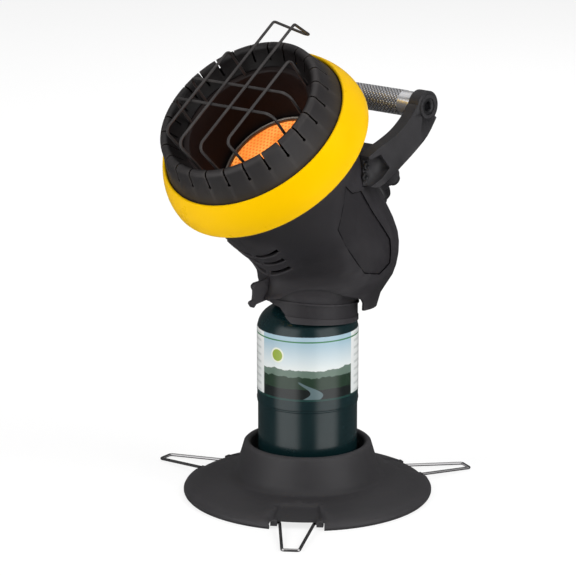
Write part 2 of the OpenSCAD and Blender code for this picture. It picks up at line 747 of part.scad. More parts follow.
module burner_cup() {
    // Pan behind the tile, where gas and air spread out
    color("#8f8f8f") on_head() translate([0, 0, -tile_depth - 31]) difference() {
        union() {
            cylinder(r1 = 38, r2 = tile_r + 2, h = 10);
            translate([0, 0, 10]) cylinder(r = tile_r + 2, h = 17.8);
        }
        translate([0, 0, 1]) cylinder(r1 = 37, r2 = tile_r + 1, h = 9.2);
        translate([0, 0, 10.1]) cylinder(r = tile_r + 0.1, h = 20);
        translate([0, 0, -1]) cylinder(r = mix_r + 0.1, h = 4);
    }
}

mix_r = 9;
mix_bend = 34;
// Burner axis and bottle axis cross at this height
cross_z = head_z - head_fwd * tan(head_tilt);
jet_z = 246;

module mixer_tube() {
    // Bent tube that carries gas and air from the jet up to the burner cup
    start = head_point(0, -tile_depth - 30.6);
    color("#9a9a98") at_axis() difference() {
        bent_wire([[0, start[0], start[1]], [0, 0, cross_z], [0, 0, jet_z]], mix_bend, mix_r);
        bent_wire([[0, start[0], start[1]] + [0, -6.55, 7.55], [0, 0, cross_z],
            [0, 0, jet_z - 3]], mix_bend, mix_r - 1);
        for (a = [0, 90]) rotate([0, 0, a]) translate([-20, 0, jet_z + 8]) rotate([0, 90, 0])
            cylinder(r = 3.4, h = 40, $fn = 32);
    }
}

module gas_jet() {
    color("#b9923c") at_axis() translate([0, 0, 232]) difference() {
        union() {
            cylinder(r = 7, h = 5, $fn = 6);
            cylinder(r = 4.2, h = 16);
        }
        translate([0, 0, 4]) cylinder(r = 1, h = 14, $fn = 24);
    }
}

fit_z = crown_z + crown_rise + 3;

module inlet_fitting() {
    // Threaded socket that screws onto the bottle's boss
    color("#a8a8aa") at_axis() translate([0, 0, fit_z]) difference() {
        cylinder(r = 18, h = 16);
        translate([0, 0, -1]) cylinder(r = boss_r + 0.06, h = 14.2);
        translate([0, 0, 12]) cylinder(r = 5, h = 6);
    }
}

module inlet_seal() {
    color("#161616") at_axis() translate([0, 0, fit_z + 12.2]) tube(9, 5.6, 1);
}

module regulator_body() {
    // Cast body with its round diaphragm cover on one side
    color("#a8a8aa") at_axis() {
        difference() {
            translate([0, 0, fit_z + 16]) cylinder(r = 21, h = 232 - fit_z - 16);
            translate([0, 0, fit_z + 15]) cylinder(r = 3, h = 8);
        }
        translate([-17, 0, 222.2]) rotate([0, -90, 0]) {
            cylinder(r = 9.4, h = 12);
            translate([0, 0, 12]) cylinder(r = 7, h = 3);
        }
    }
}

module supply_tube() {
    color("#b87838") at_axis() bent_wire([[9.48, 18.96, 224], [16, 32, 224],
        [14, 58, 232], [4, 68, 246], [4, 68, 256.3]], 6, 2.4);
}

module delivery_tube() {
    color("#b87838") at_axis() bent_wire([[-4, 60, 252.6], [-4, 60, 245],
        [-23, 0, 234.8], [-7.5, 0, 234.8]], 5, 2.4);
}

module valve_body() {
    color("#b9923c") at_axis() knob_axis() difference() {
        union() {
            translate([0, 0, -36]) cylinder(r = 11, h = 26);
            translate([0, 0, -10]) cylinder(r = 7, h = 6);
        }
        translate([0, 0, -26]) cylinder(r = 3.05, h = 30);
    }
}

module valve_nut() {
    color("#b9923c") at_axis() knob_axis() translate([0, 0, -3.8]) difference() {
        union() {
            cylinder(r = 9.5, h = 4.6, $fn = 6);
            cylinder(r = 5.9, h = 8.6);
        }
        translate([0, 0, -1]) cylinder(r = 3.05, h = 12);
    }
}

module valve_stem() {
    color("#c8c8cc") at_axis() knob_axis() translate([0, 0, -24]) cylinder(r = 3, h = 40);
}

module control_knob() {
    // Round knob with a skirt, a waist and a fluted grip
    color("#1d1c1e") at_axis() knob_axis() translate([0, 0, 5.4]) difference() {
        rotate_extrude() polygon([[0, 0], [knob_r - 0.6, 0], [knob_r, 0.8], [knob_r, 4.4],
            [knob_r - 1.4, 5.4], [knob_r - 2.2, knob_h - 2], [knob_r - 4, knob_h],
            [0, knob_h]]);
        translate([0, 0, -1]) cylinder(r = 3.01, h = 12);
        for (i = [0:11]) rotate([0, 0, 30 * i]) translate([knob_r + 0.6, 0, 5.4])
            cylinder(r = 3, h = knob_h, $fn = 24);
        translate([-0.8, 4, knob_h - 0.8]) cube([1.6, 8, 2]);
    }
}

// ---------------------------------------------------------------- guard

foot_s = rim_rise - 0.7;
foot_r = rim_r - 2.6;
foot_lean = 4;

function foot_y(x) = sqrt(foot_r * foot_r - x * x);
function rail_s(y) = guard_rise - guard_slope * y;

// Long wire at one side: its two ends run back to the rim of the bowl
module side_rail(x) {
    h = foot_y(x);
    bent_wire([[x, -h, foot_s], [x, -h - foot_lean, rail_s(-h)], [x, h, rail_s(h)],
        [x, h, foot_s]], 6, guard_r);
}

module guard_wire_left() {
    color("#504b4b") on_head() side_rail(-guard_pitch * 1.5);
}

module guard_wire_right() {
    color("#504b4b") on_head() side_rail(guard_pitch * 1.5);
}

module guard_hook_wire() {
    // One wire makes the middle pair: it runs past the lip and turns back into a narrow loop
    x = guard_pitch / 2;
    h = foot_y(x);
    top = rail_s(hook_reach);
    color("#504b4b") on_head() bent_wire([
        [-x, -h, foot_s], [-x, -h - foot_lean, rail_s(-h)], [-x, hook_reach, top],
        [-2.6, hook_reach + 14.5, top - 32], [2.6, hook_reach + 14.5, top - 32],
        [x, hook_reach, top], [x, -h - foot_lean, rail_s(-h)], [x, -h, foot_s]],
        [7, 4, 3, 3, 4, 7], guard_r);
}

// Cross wire just behind the long ones
module cross_wire(y) {
    h = foot_y(y);
    s = rail_s(y) - guard_d + 0.1;
    bent_wire([[-h, y, foot_s], [-h, y, s], [h, y, s], [h, y, foot_s]], 9, guard_r);
}

module guard_cross_upper() {
    color("#504b4b") on_head() cross_wire(guard_pitch / 2 + 0.5);
}

module guard_cross_lower() {
    color("#504b4b") on_head() cross_wire(-guard_pitch / 2 - 0.5);
}

// ---------------------------------------------------------------- handle

arm_end_r = 15;

// Side view of an arm as a smooth blade between two lines from the foot to the bar
ARM_UPPER = [[-9, 346], [4, 352], [20, 357.5], [36, 364.5], [50, 374.5], [60, 386]];
ARM_LOWER = [[-9, 318], [6, 315], [22, 321], [40, 331], [58, 341.5], [76, 354], [89, 370]];

module arm_outline() {
    upper = smooth_rows(ARM_UPPER, 3);
    lower = smooth_rows(ARM_LOWER, 3);
    union() {
        polygon(concat(upper, [[bar_y, bar_z]], [for (i = [len(lower) - 1:-1:0]) lower[i]]));
        translate([bar_y, bar_z]) circle(r = arm_end_r);
    }
}

module arm_plate(s) {
    mirror([s < 0 ? 1 : 0, 0, 0]) difference() {
        union() {
            translate([arm_x - arm_t, 0, 0]) rotate([90, 0, 90]) linear_extrude(arm_t)
                arm_outline();
            translate([arm_x - 0.5, bar_y, bar_z]) rotate([0, 90, 0]) cylinder(r = 11.5, h = 2);
        }
        // Open pocket at the foot, where two screws hold the arm
        translate([arm_x - 7, 0, 0]) rotate([90, 0, 90]) linear_extrude(20) polygon([
            [-30, 342], [-6, 343], [8, 346], [21, 331], [10, 323], [-3, 318], [-30, 312]]);
        for (p = arm_screws) translate([arm_x - arm_t - 1, p[0], p[1]]) rotate([0, 90, 0])
            cylinder(r = 2.3, h = 20, $fn = 32);
        // Bore and hexagon seat for the bar's bolt
        translate([arm_x - arm_t - 1, bar_y, bar_z]) rotate([0, 90, 0]) {
            cylinder(r = 4.2, h = 20, $fn = 48);
            translate([0, 0, arm_t - 4.4]) cylinder(r = 8.4, h = 12);
        }
    }
}

arm_screws = [[-5, 336], [-7, 326]];

module handle_arm_left() {
    color("#2e2d30") at_axis() arm_plate(-1);
}

module handle_arm_right() {
    color("#2e2d30") at_axis() difference() {
        union() {
            arm_plate(1);
            igniter_axis() translate([0, 0, -16]) cylinder(r = 10, h = 16);
        }
        igniter_axis() {
            translate([0, 0, -40]) cylinder(r = 5.3, h = 60);
            translate([0, 0, -14]) cylinder(r = button_r + 1.3, h = 16);
        }
    }
}

module handle_bar() {
    // Chrome tube with knurled middle and plain ends
    half = arm_x - arm_t - 0.05;
    color("#c4c4c8") at_axis() translate([-half, bar_y, bar_z]) rotate([0, 90, 0])
        difference() {
            rotate_extrude() polygon([[0, 0], [bar_d / 2 - 0.5, 0], [bar_d / 2, 0.8],
                [bar_d / 2, 15], [bar_d / 2 + 0.4, 16], [bar_d / 2 + 0.4, 2 * half - 16],
                [bar_d / 2, 2 * half - 15], [bar_d / 2, 2 * half - 0.8],
                [bar_d / 2 - 0.5, 2 * half], [0, 2 * half]]);
            translate([0, 0, -1]) cylinder(r = 3.4, h = 22, $fn = 48);
            translate([0, 0, 2 * half - 21]) cylinder(r = 3.4, h = 22, $fn = 48);
        }
}

module handle_bolts() {
    // Socket-head bolts that close the handle from both sides
    color("#26262a") at_axis() for (s = [-1, 1]) mirror([s < 0 ? 1 : 0, 0, 0])
        translate([arm_x - arm_t, bar_y, bar_z]) rotate([0, 90, 0]) difference() {
            union() {
                translate([0, 0, -16]) cylinder(r = 3.36, h = 26);
                translate([0, 0, arm_t - 5.3]) cylinder(r = 8.2, h = 6);
            }
            translate([0, 0, arm_t - 2.4]) cylinder(r = 5.6, h = 6, $fn = 6);
        }
}

module handle_screws() {
    color("#1c1c1e") at_axis() for (s = [-1, 1]) mirror([s < 0 ? 1 : 0, 0, 0])
        for (p = arm_screws) translate([arm_x - arm_t, p[0], p[1]]) rotate([0, 90, 0])
            difference() {
                union() {
                    translate([0, 0, -14]) cylinder(r = 2.2, h = 20, $fn = 32);
                    translate([0, 0, 5.02]) cylinder(r1 = 4.6, r2 = 3.8, h = 2.2, $fn = 32);
                }
                for (a = [0, 90]) rotate([0, 0, a]) translate([-2.6, -0.5, 6.2])
                    cube([5.2, 1, 3]);
            }
}

// ---------------------------------------------------------------- ignition

igniter_x = 72.3;
igniter_y = 37;
igniter_z = 318.5;
igniter_drop = -34;

module igniter_axis() {
    translate([igniter_x, igniter_y, igniter_z]) rotate([igniter_drop - 90, 0, 0]) children();
}

module igniter_bezel() {
    color("#d2d2d6") at_axis() igniter_axis() translate([0, 0, 0.05]) difference() {
        rotate_extrude() polygon([[button_r + 0.08, -8], [button_r + 1.2, -8],
            [button_r + 1.2, 0], [button_r + 2.6, 0], [button_r + 2.6, 1.4],
            [button_r + 1.8, 2.2], [button_r + 0.6, 2.2], [button_r + 0.08, 1.6]]);
    }
}

module igniter_button() {
    color("#202022") at_axis() igniter_axis() difference() {
        union() {
            translate([0, 0, -3]) cylinder(r = button_r, h = 10.2);
            translate([0, 0, -12]) cylinder(r = 2.2, h = 10);
        }
        for (i = [0:23]) rotate([0, 0, 15 * i]) translate([button_r + 0.15, 0, 2.6])
            cylinder(r = 0.45, h = 8, $fn = 16);
        translate([0, 0, 9.6]) sphere(r = 4, $fn = 48);
    }
}

module igniter_body() {
    color("#c9c6bd") at_axis() igniter_axis() translate([0, 0, -34]) difference() {
        cylinder(r = 5, h = 17.8);
        translate([0, 0, 10]) cylinder(r = 2.28, h = 12);
    }
}

// The lead leaves the far end of the igniter through a slot in the arm's pad
lead_start = [igniter_x, 42.1, -82];
lead_turn = [igniter_x, 40.8, -77];
lead_end = [55, 37.5, -78];

module lead_slot() {
    translate([0, -head_fwd, head_z]) rotate([head_lean, 0, 0])
        rod(lead_turn + [2.5, 0.4, -0.6], lead_end, 2.6);
}

module igniter_lead() {
    color("#a03020") on_head() bent_wire(concat([lead_start, lead_turn, lead_end],
        [[55, -20, -84], [42.7, -42.7, -89], [42.7, -42.7, -79.8]]), 3, 1.2);
}

module spark_electrode() {
    // Ceramic sleeve through the burner cup's edge, with its wire bent over the tile
    color("#e8e4dc") on_head() rotate([0, 0, -45]) {
        translate([tile_r + 9.4, 0, -tile_depth - 22]) cylinder(r = 2.2, h = 16, $fn = 32);
        bent_wire([[tile_r + 9.4, 0, -tile_depth - 30], [tile_r + 9.4, 0, -tile_depth - 2]],
            2, 0.8);
    }
}

module thermocouple() {
    color("#b87838") on_head() rotate([0, 0, -62]) {
        translate([tile_r + 9.4, 0, -tile_depth - 20]) cylinder(r = 1.8, h = 18, $fn = 32);
        translate([tile_r + 9.4, 0, -tile_depth - 24]) cylinder(r = 3, h = 5, $fn = 6);
    }
}

module tip_switch() {
    color("#303034") at_axis() translate([20, -8, 236]) difference() {
        cube([16, 20, 18]);
        translate([8, 10, 3]) cylinder(r = 5.4, h = 12);
    }
}

// ---------------------------------------------------------------- the whole object

base_skirt();
wire_leg(leg_turns[0]);  // wire_leg_1
wire_leg(leg_turns[1]);  // wire_leg_2
wire_leg(leg_turns[2]);  // wire_leg_3
bottle_lower_shell();
bottle_upper_shell();
bottle_foot_ring();
bottle_label();
bottle_boss();
bottle_valve_core();
bottle_relief_valve();
housing_left();
housing_right();
housing_screws();
shroud_ring();
heat_cone();
reflector_bowl();
burner_tile();
burner_rim();
burner_cup();
mixer_tube();
gas_jet();
regulator_body();
inlet_fitting();
inlet_seal();
supply_tube();
delivery_tube();
valve_body();
valve_nut();
valve_stem();
control_knob();
guard_wire_left();
guard_wire_right();
guard_hook_wire();
guard_cross_upper();
guard_cross_lower();
handle_arm_left();
handle_arm_right();
handle_bar();
handle_bolts();
handle_screws();
igniter_bezel();
igniter_button();
igniter_body();
igniter_lead();
spark_electrode();
thermocouple();
tip_switch();
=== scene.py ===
"""Looks of a portable propane heater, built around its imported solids.

The heater's burner head screws on top of an upright gas bottle, and the bottle stands in a
moulded base with three wire legs. Two frames carry the sizes, both in millimetres: the bottle
frame (bottle axis at x = y = 0, z from the base's rim) and the head frame (burner axis as +Z,
top of the head as +Y, origin in the middle of the ring's front edge).
"""

import logging
import math
from dataclasses import dataclass
from enum import Enum
from typing import Callable, Iterable, Optional, Sequence

import bmesh
import bpy
from mathutils import Matrix, Vector
from mathutils.bvhtree import BVHTree


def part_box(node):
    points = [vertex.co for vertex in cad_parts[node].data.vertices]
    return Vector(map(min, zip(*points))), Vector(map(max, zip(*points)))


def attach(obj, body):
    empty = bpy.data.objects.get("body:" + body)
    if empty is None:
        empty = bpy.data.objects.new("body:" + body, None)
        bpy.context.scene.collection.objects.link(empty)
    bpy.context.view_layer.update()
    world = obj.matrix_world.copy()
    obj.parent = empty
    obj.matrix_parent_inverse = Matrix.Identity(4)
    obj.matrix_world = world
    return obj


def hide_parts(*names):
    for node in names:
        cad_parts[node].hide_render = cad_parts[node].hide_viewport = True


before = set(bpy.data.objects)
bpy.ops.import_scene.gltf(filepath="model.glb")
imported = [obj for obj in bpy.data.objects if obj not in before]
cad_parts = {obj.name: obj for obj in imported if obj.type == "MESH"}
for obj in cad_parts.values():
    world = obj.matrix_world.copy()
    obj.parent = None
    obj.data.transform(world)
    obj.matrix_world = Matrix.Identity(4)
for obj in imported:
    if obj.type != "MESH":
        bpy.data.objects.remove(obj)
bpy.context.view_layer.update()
LOG = logging.getLogger("heater")
MM = 0.001
Point = Sequence[float]


# ------------------------------------------------------------------------------ frames


def bottle_axis() -> Vector:
    """Place of the bottle axis on the floor, in metres, from the label's box."""
    low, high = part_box("bottle_label")
    return Vector(((low.x + high.x) / 2, (low.y + high.y) / 2, 0.0))


FOOT_H = 2.0
HEAD_FORWARD = 77.0
HEAD_HEIGHT = 372.0
HEAD_LEAN = math.radians(41)

IN_BOTTLE = (Matrix.Translation(bottle_axis()) @ Matrix.Scale(MM, 4)
             @ Matrix.Translation((0, 0, FOOT_H)))
IN_HEAD = (IN_BOTTLE @ Matrix.Translation((0, -HEAD_FORWARD, HEAD_HEIGHT))
           @ Matrix.Rotation(HEAD_LEAN, 4, "X"))


class Body(Enum):
    """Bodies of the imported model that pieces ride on."""

    BASE = "base"
    LEG_FRONT = "leg_front"
    LEG_RIGHT = "leg_right"
    LEG_LEFT = "leg_left"
    BOTTLE = "bottle"
    HEAD = "head"
    KNOB = "knob"
    BUTTON = "button"


# ------------------------------------------------------------------------------ materials


def linear(red: int, green: int, blue: int) -> tuple[float, float, float, float]:
    """Turn a colour of 0 to 255 as seen on a screen into the renderer's linear values."""
    def channel(value: int) -> float:
        part = value / 255
        return part / 12.92 if part <= 0.04045 else ((part + 0.055) / 1.055) ** 2.4
    return channel(red), channel(green), channel(blue), 1.0


class Graph:
    """Short helpers round one node tree."""

    def __init__(self, tree: bpy.types.NodeTree) -> None:
        """Keep the tree."""
        self.tree = tree

    def node(self, kind: str, **values: object) -> bpy.types.Node:
        """Add a node.

        Args:
            kind: Type of the node, without its ShaderNode prefix.
            **values: Attributes of the node, or inputs by name with spaces as underscores.

        Returns:
            The new node.
        """
        made = self.tree.nodes.new("ShaderNode" + kind)
        for key, value in values.items():
            if hasattr(made, key):
                setattr(made, key, value)
            else:
                made.inputs[key.replace("_", " ")].default_value = value
        return made

    def link(self, source: bpy.types.NodeSocket, target: bpy.types.NodeSocket) -> None:
        """Join two sockets."""
        self.tree.links.new(source, target)

    def feed(self, target: bpy.types.NodeSocket, value: object) -> None:
        """Link a socket's value into an input, or set a plain value on it."""
        if isinstance(value, bpy.types.NodeSocket):
            self.link(value, target)
        else:
            target.default_value = value

    def math(self, operation: str, *values: object,
             clamp: bool = False) -> bpy.types.NodeSocket:
        """Work out one number from sockets or plain numbers."""
        made = self.node("Math", operation=operation, use_clamp=clamp)
        for target, value in zip(made.inputs, values):
            self.feed(target, value)
        return made.outputs[0]

    def ramp(self, value: bpy.types.NodeSocket, low: float, high: float) -> bpy.types.NodeSocket:
        """Rise from 0 at low to 1 at high; low may be the larger one."""
        made = self.node("MapRange", From_Min=low, From_Max=high)
        self.link(value, made.inputs["Value"])
        return made.outputs["Result"]

    def mix(self, mask: object, under: object, over: object) -> bpy.types.NodeSocket:
        """Lay one colour over another where the mask is 1."""
        made = self.node("Mix", data_type="RGBA")
        for target, value in zip((made.inputs[0], made.inputs[6], made.inputs[7]),
                                 (mask, under, over)):
            self.feed(target, value)
        return made.outputs[2]

    def split(self, vector: bpy.types.NodeSocket) -> list[bpy.types.NodeSocket]:
        """The three parts of a vector."""
        made = self.node("SeparateXYZ")
        self.link(vector, made.inputs[0])
        return list(made.outputs)

    def join(self, *parts: object) -> bpy.types.NodeSocket:
        """A vector from three parts."""
        made = self.node("CombineXYZ")
        for target, value in zip(made.inputs, parts):
            self.feed(target, value)
        return made.outputs[0]

    def noise(self, place: bpy.types.NodeSocket, scale: float, detail: float = 2.0,
              roughness: float = 0.5) -> bpy.types.NodeSocket:
        """Smooth noise between 0 and 1."""
        made = self.node("TexNoise", Scale=scale, Detail=detail, Roughness=roughness)
        self.link(place, made.inputs["Vector"])
        return made.outputs["Fac"]

    def bump(self, height: bpy.types.NodeSocket, strength: object, distance: float,
             normal: Optional[bpy.types.NodeSocket] = None) -> bpy.types.NodeSocket:
        """Bend the normal by a height, after another bend if there is one."""
        made = self.node("Bump", Distance=distance)
        self.feed(made.inputs["Strength"], strength)
        self.link(height, made.inputs["Height"])
        if normal:
            self.link(normal, made.inputs["Normal"])
        return made.outputs["Normal"]


class Shader(Graph):
    """A material's node tree, kept around one Principled BSDF."""

    def __init__(self, name: str) -> None:
        """Make the material with its Principled BSDF."""
        self.material = bpy.data.materials.new(name)
        self.material.use_nodes = True
        super().__init__(self.material.node_tree)

    @property
    def surface(self) -> bpy.types.Node:
        """The Principled BSDF."""
        return self.tree.nodes["Principled BSDF"]

    def set(self, **values: object) -> None:
        """Set plain values on the Principled BSDF's own sockets."""
        for key, value in values.items():
            self.surface.inputs[key.replace("_", " ")].default_value = value

    def place(self, frame_of: Optional[Matrix] = None) -> bpy.types.NodeSocket:
        """Object coordinates in metres, or millimetres in another frame.

        Args:
            frame_of: Matrix from that frame to the model's frame.

        Returns:
            The socket with the place.
        """
        whole = self.node("TexCoord").outputs["Object"]
        if frame_of is None:
            return whole
        turned = self.node("Mapping", vector_type="TEXTURE", Location=frame_of.translation,
                           Rotation=frame_of.to_euler(), Scale=frame_of.to_scale())
        self.link(whole, turned.inputs["Vector"])
        return turned.outputs["Vector"]


@dataclass(frozen=True)
class GroupSocket:
    """One socket of a node group."""

    name: str
    kind: str
    default: object = None


class EffectGroup(Graph):
    """A node group that holds one effect."""

    name = "effect"
    inputs: tuple[GroupSocket, ...] = (GroupSocket("Place", "Vector"),)
    outputs: tuple[GroupSocket, ...] = ()

    def __init__(self) -> None:
        """Make the group's sockets and let the subclass fill it."""
        super().__init__(bpy.data.node_groups.new(self.name, "ShaderNodeTree"))
        for direction, sockets in (("INPUT", self.inputs), ("OUTPUT", self.outputs)):
            for socket in sockets:
                made = self.tree.interface.new_socket(
                    socket.name, in_out=direction, socket_type="NodeSocket" + socket.kind)
                if socket.default is not None:
                    made.default_value = socket.default
        self.entry = self.tree.nodes.new("NodeGroupInput").outputs
        self.exit = self.tree.nodes.new("NodeGroupOutput").inputs
        self.fill()

    def fill(self) -> None:
        """Add the group's nodes."""

    def place_in(self, shader: Shader, place: bpy.types.NodeSocket,
                 **values: object) -> bpy.types.Node:
        """Place the group in a material.

        Args:
            shader: The material's shader.
            place: Socket with the coordinates that the group reads.
            **values: Values of the group's inputs by name.

        Returns:
            The group node.
        """
        made = shader.node("Group")
        made.node_tree = self.tree
        for key, value in values.items():
            made.inputs[key.replace("_", " ")].default_value = value
        shader.link(place, made.inputs["Place"])
        return made


class GrainGroup(EffectGroup):
    """Fine height of a moulded or cast surface, with a slow waviness under it."""

    name = "grain"
    inputs = (GroupSocket("Place", "Vector"), GroupSocket("Scale", "Float", 2600.0),
              GroupSocket("Strength", "Float", 0.2), GroupSocket("Wave", "Float", 0.1))
    outputs = (GroupSocket("Normal", "Vector"),)

    def fill(self) -> None:
        """Two noises, one fine and one broad, drive two bumps in a row."""
        fine = self.node("TexNoise", Detail=3.0, Roughness=0.6)
        self.link(self.entry["Place"], fine.inputs["Vector"])
        self.link(self.entry["Scale"], fine.inputs["Scale"])
        wave = self.bump(self.noise(self.entry["Place"], 26.0), self.entry["Wave"], 0.004)
        self.link(self.bump(fine.outputs["Fac"], self.entry["Strength"], 0.0004, wave),
                  self.exit["Normal"])


class WearGroup(EffectGroup):
    """Colour and roughness that vary over the surface, with paler worn edges."""

    name = "wear"
    inputs = (GroupSocket("Place", "Vector"), GroupSocket("Colour", "Color"),
              GroupSocket("Edge Colour", "Color"), GroupSocket("Edge Amount", "Float", 0.3),
              GroupSocket("Patch", "Float", 0.06), GroupSocket("Roughness", "Float", 0.5),
              GroupSocket("Roughness Spread", "Float", 0.1))
    outputs = (GroupSocket("Colour", "Color"), GroupSocket("Roughness", "Float"))

    def fill(self) -> None:
        """Pointiness marks the edges, and a broad noise the patches."""
        patches = self.noise(self.entry["Place"], 38.0, 5.0, 0.62)
        centred = self.math("SUBTRACT", patches, 0.5)
        amount = self.math("MULTIPLY", centred, self.entry["Patch"])
        shade = self.node("HueSaturation")
        self.link(self.entry["Colour"], shade.inputs["Color"])
        self.link(self.math("MULTIPLY_ADD", amount, 2.0, 1.0), shade.inputs["Value"])
        edge = self.ramp(self.node("NewGeometry").outputs["Pointiness"], 0.505, 0.56)
        broken = self.math("MULTIPLY", edge, patches)
        scaled = self.math("MULTIPLY", broken, self.entry["Edge Amount"], clamp=True)
        self.link(self.mix(scaled, shade.outputs["Color"], self.entry["Edge Colour"]),
                  self.exit["Colour"])
        self.link(self.math("MULTIPLY_ADD", centred, self.entry["Roughness Spread"],
                            self.entry["Roughness"], clamp=True), self.exit["Roughness"])


@dataclass(frozen=True)
class Ridge:
    """One row of hills: height of its skyline, its rise, pace along the film and start."""

    level: float
    rise: float
    pace: float
    start: float
    colour: tuple[int, int, int]


class LabelGroup(EffectGroup):
    """Printed landscape for the bottle's film: sky, three rows of hills, river, side bands.

    Place is in the bottle frame. Heights in millimetres count from the film's lower edge.
    A small number added to a height or a radius is the width of a soft edge.
    """

    name = "label_art"
    outputs = (GroupSocket("Colour", "Color"),)
    face_turn = math.radians(42)
    radius = 49.4
    low = 103.5
    panel_half = 50.0
    sky_low, sky_high = 28.0, 56.0
    ridges = (Ridge(31.0, 15.0, 0.035, 0.0, (104, 124, 112)),
              Ridge(24.0, 10.0, 0.075, 40.0, (38, 58, 44)),
              Ridge(12.0, 4.0, 0.05, 90.0, (24, 30, 30)))
    river_top, river_swing, river_half = 20.0, 9.0, 9.5
    river_pace, river_narrowing = 0.22, -0.42
    badge_centre = (-31.0, 44.0, 0.0)
    badge_r, badge_ring_r = 6.0, 7.6
    rule_low, rule_high = 58.0, 59.6
    foot_high = 2.2
    mark_pace, mark_share = 0.28, 0.3

    def fill(self) -> None:
        """Lay the layers over each other, from the sky to the frame lines."""
        x, y, z = self.split(self.entry["Place"])
        turn = self.math("ARCTAN2", x, self.math("MULTIPLY", y, -1.0))
        shifted = self.math("WRAP", self.math("SUBTRACT", turn, self.face_turn),
                            math.pi, -math.pi)
        across = self.math("MULTIPLY", shifted, self.radius)
        up = self.math("SUBTRACT", z, self.low)
        colour = self.sky(up)
        for ridge in self.ridges:
            colour = self.hills(colour, across, up, ridge)
        colour = self.river(colour, across, up)
        colour = self.badge(colour, across, up)
        colour = self.bands(colour, across, up)
        self.link(colour, self.exit["Colour"])

    def sky(self, up: bpy.types.NodeSocket) -> bpy.types.NodeSocket:
        """Pale sky that deepens towards the top."""
        return self.mix(self.ramp(up, self.sky_low, self.sky_high), linear(238, 242, 240),
                        linear(168, 196, 210))

    def hills(self, under: bpy.types.NodeSocket, across: bpy.types.NodeSocket,
              up: bpy.types.NodeSocket, ridge: Ridge) -> bpy.types.NodeSocket:
        """One row of hills with a ragged skyline."""
        along = self.join(self.math("MULTIPLY", across, ridge.pace), ridge.start, 0.0)
        skyline = self.math("MULTIPLY_ADD", self.noise(along, 1.0, 4.0, 0.55), ridge.rise,
                            ridge.level - ridge.rise / 2)
        below = self.math("SUBTRACT", skyline, up)
        return self.mix(self.ramp(below, 0.0, 0.5), under, linear(*ridge.colour))

    def river(self, under: bpy.types.NodeSocket, across: bpy.types.NodeSocket,
              up: bpy.types.NodeSocket) -> bpy.types.NodeSocket:
        """Pale bend of water that widens towards the viewer."""
        wave = self.math("SINE", self.math("MULTIPLY", up, self.river_pace))
        swing = self.math("MULTIPLY", wave, self.river_swing)
        aside = self.math("ABSOLUTE", self.math("SUBTRACT", across, swing))
        wide = self.math("MULTIPLY_ADD", up, self.river_narrowing, self.river_half)
        inside = self.ramp(self.math("SUBTRACT", wide, aside), 0.0, 0.6)
        near = self.ramp(up, self.river_top, self.river_top - 2)
        return self.mix(self.math("MULTIPLY", inside, near), under, linear(96, 116, 120))

    def badge(self, under: bpy.types.NodeSocket, across: bpy.types.NodeSocket,
              up: bpy.types.NodeSocket) -> bpy.types.NodeSocket:
        """Plain round emblem: a ring round a leaf-green disc."""
        away = self.node("VectorMath", operation="DISTANCE")
        self.link(self.join(across, up, 0.0), away.inputs[0])
        away.inputs[1].default_value = self.badge_centre
        radius = away.outputs["Value"]
        ringed = self.mix(self.ramp(radius, self.badge_ring_r, self.badge_ring_r - 0.4), under,
                          linear(236, 238, 220))
        return self.mix(self.ramp(radius, self.badge_r, self.badge_r - 0.4), ringed,
                        linear(148, 170, 58))

    def bands(self, under: bpy.types.NodeSocket, across: bpy.types.NodeSocket,
              up: bpy.types.NodeSocket) -> bpy.types.NodeSocket:
        """White bands beside the picture, a green rule on top and a dark foot."""
        aside = self.math("ABSOLUTE", across)
        colour = self.mix(self.ramp(aside, self.panel_half - 0.3, self.panel_half), under,
                          linear(232, 235, 234))
        stripes = self.math("PINGPONG", self.math("MULTIPLY", up, self.mark_pace), 1.0)
        marks = self.math("MULTIPLY", self.ramp(stripes, 0.62, 0.7),
                          self.ramp(aside, self.panel_half + 5, self.panel_half + 6))
        colour = self.mix(self.math("MULTIPLY", marks, self.mark_share), colour,
                          linear(120, 132, 132))
        top = self.math("MULTIPLY", self.ramp(up, self.rule_low, self.rule_low + 0.2),
                        self.ramp(up, self.rule_high, self.rule_high - 0.2))
        colour = self.mix(top, colour, linear(66, 128, 84))
        return self.mix(self.ramp(up, self.foot_high, self.foot_high - 0.2), colour,
                        linear(28, 62, 58))


class TileGroup(EffectGroup):
    """Drilled burner plaque at work: staggered holes and uneven heat. Place: head frame."""

    name = "plaque"
    outputs = (GroupSocket("Hole", "Float"), GroupSocket("Heat", "Float"))
    pitch = 4.2
    row_step = 0.866
    rows_below = 200.0
    hole_edge = (0.36, 0.2)

    def fill(self) -> None:
        """Measure the distance to the nearest hole, and make slow patches of heat."""
        x, y, _ = self.split(self.entry["Place"])
        row = self.math("DIVIDE", y, self.pitch * self.row_step)
        odd = self.math("MODULO", self.math("FLOOR", self.math(
            "ADD", row, self.rows_below)), 2.0)
        column = self.math("MULTIPLY_ADD", odd, 0.5, self.math("DIVIDE", x, self.pitch))
        aside = self.math("SUBTRACT", self.math("FRACT", column), 0.5)
        above = self.math("MULTIPLY", self.math(
            "SUBTRACT", self.math("FRACT", row), 0.5), self.row_step)
        away = self.math("SQRT", self.math("MULTIPLY_ADD", aside, aside,
                                           self.math("MULTIPLY", above, above)))
        self.link(self.ramp(away, *self.hole_edge), self.exit["Hole"])
        self.link(self.noise(self.entry["Place"], 0.06, 3.0), self.exit["Heat"])


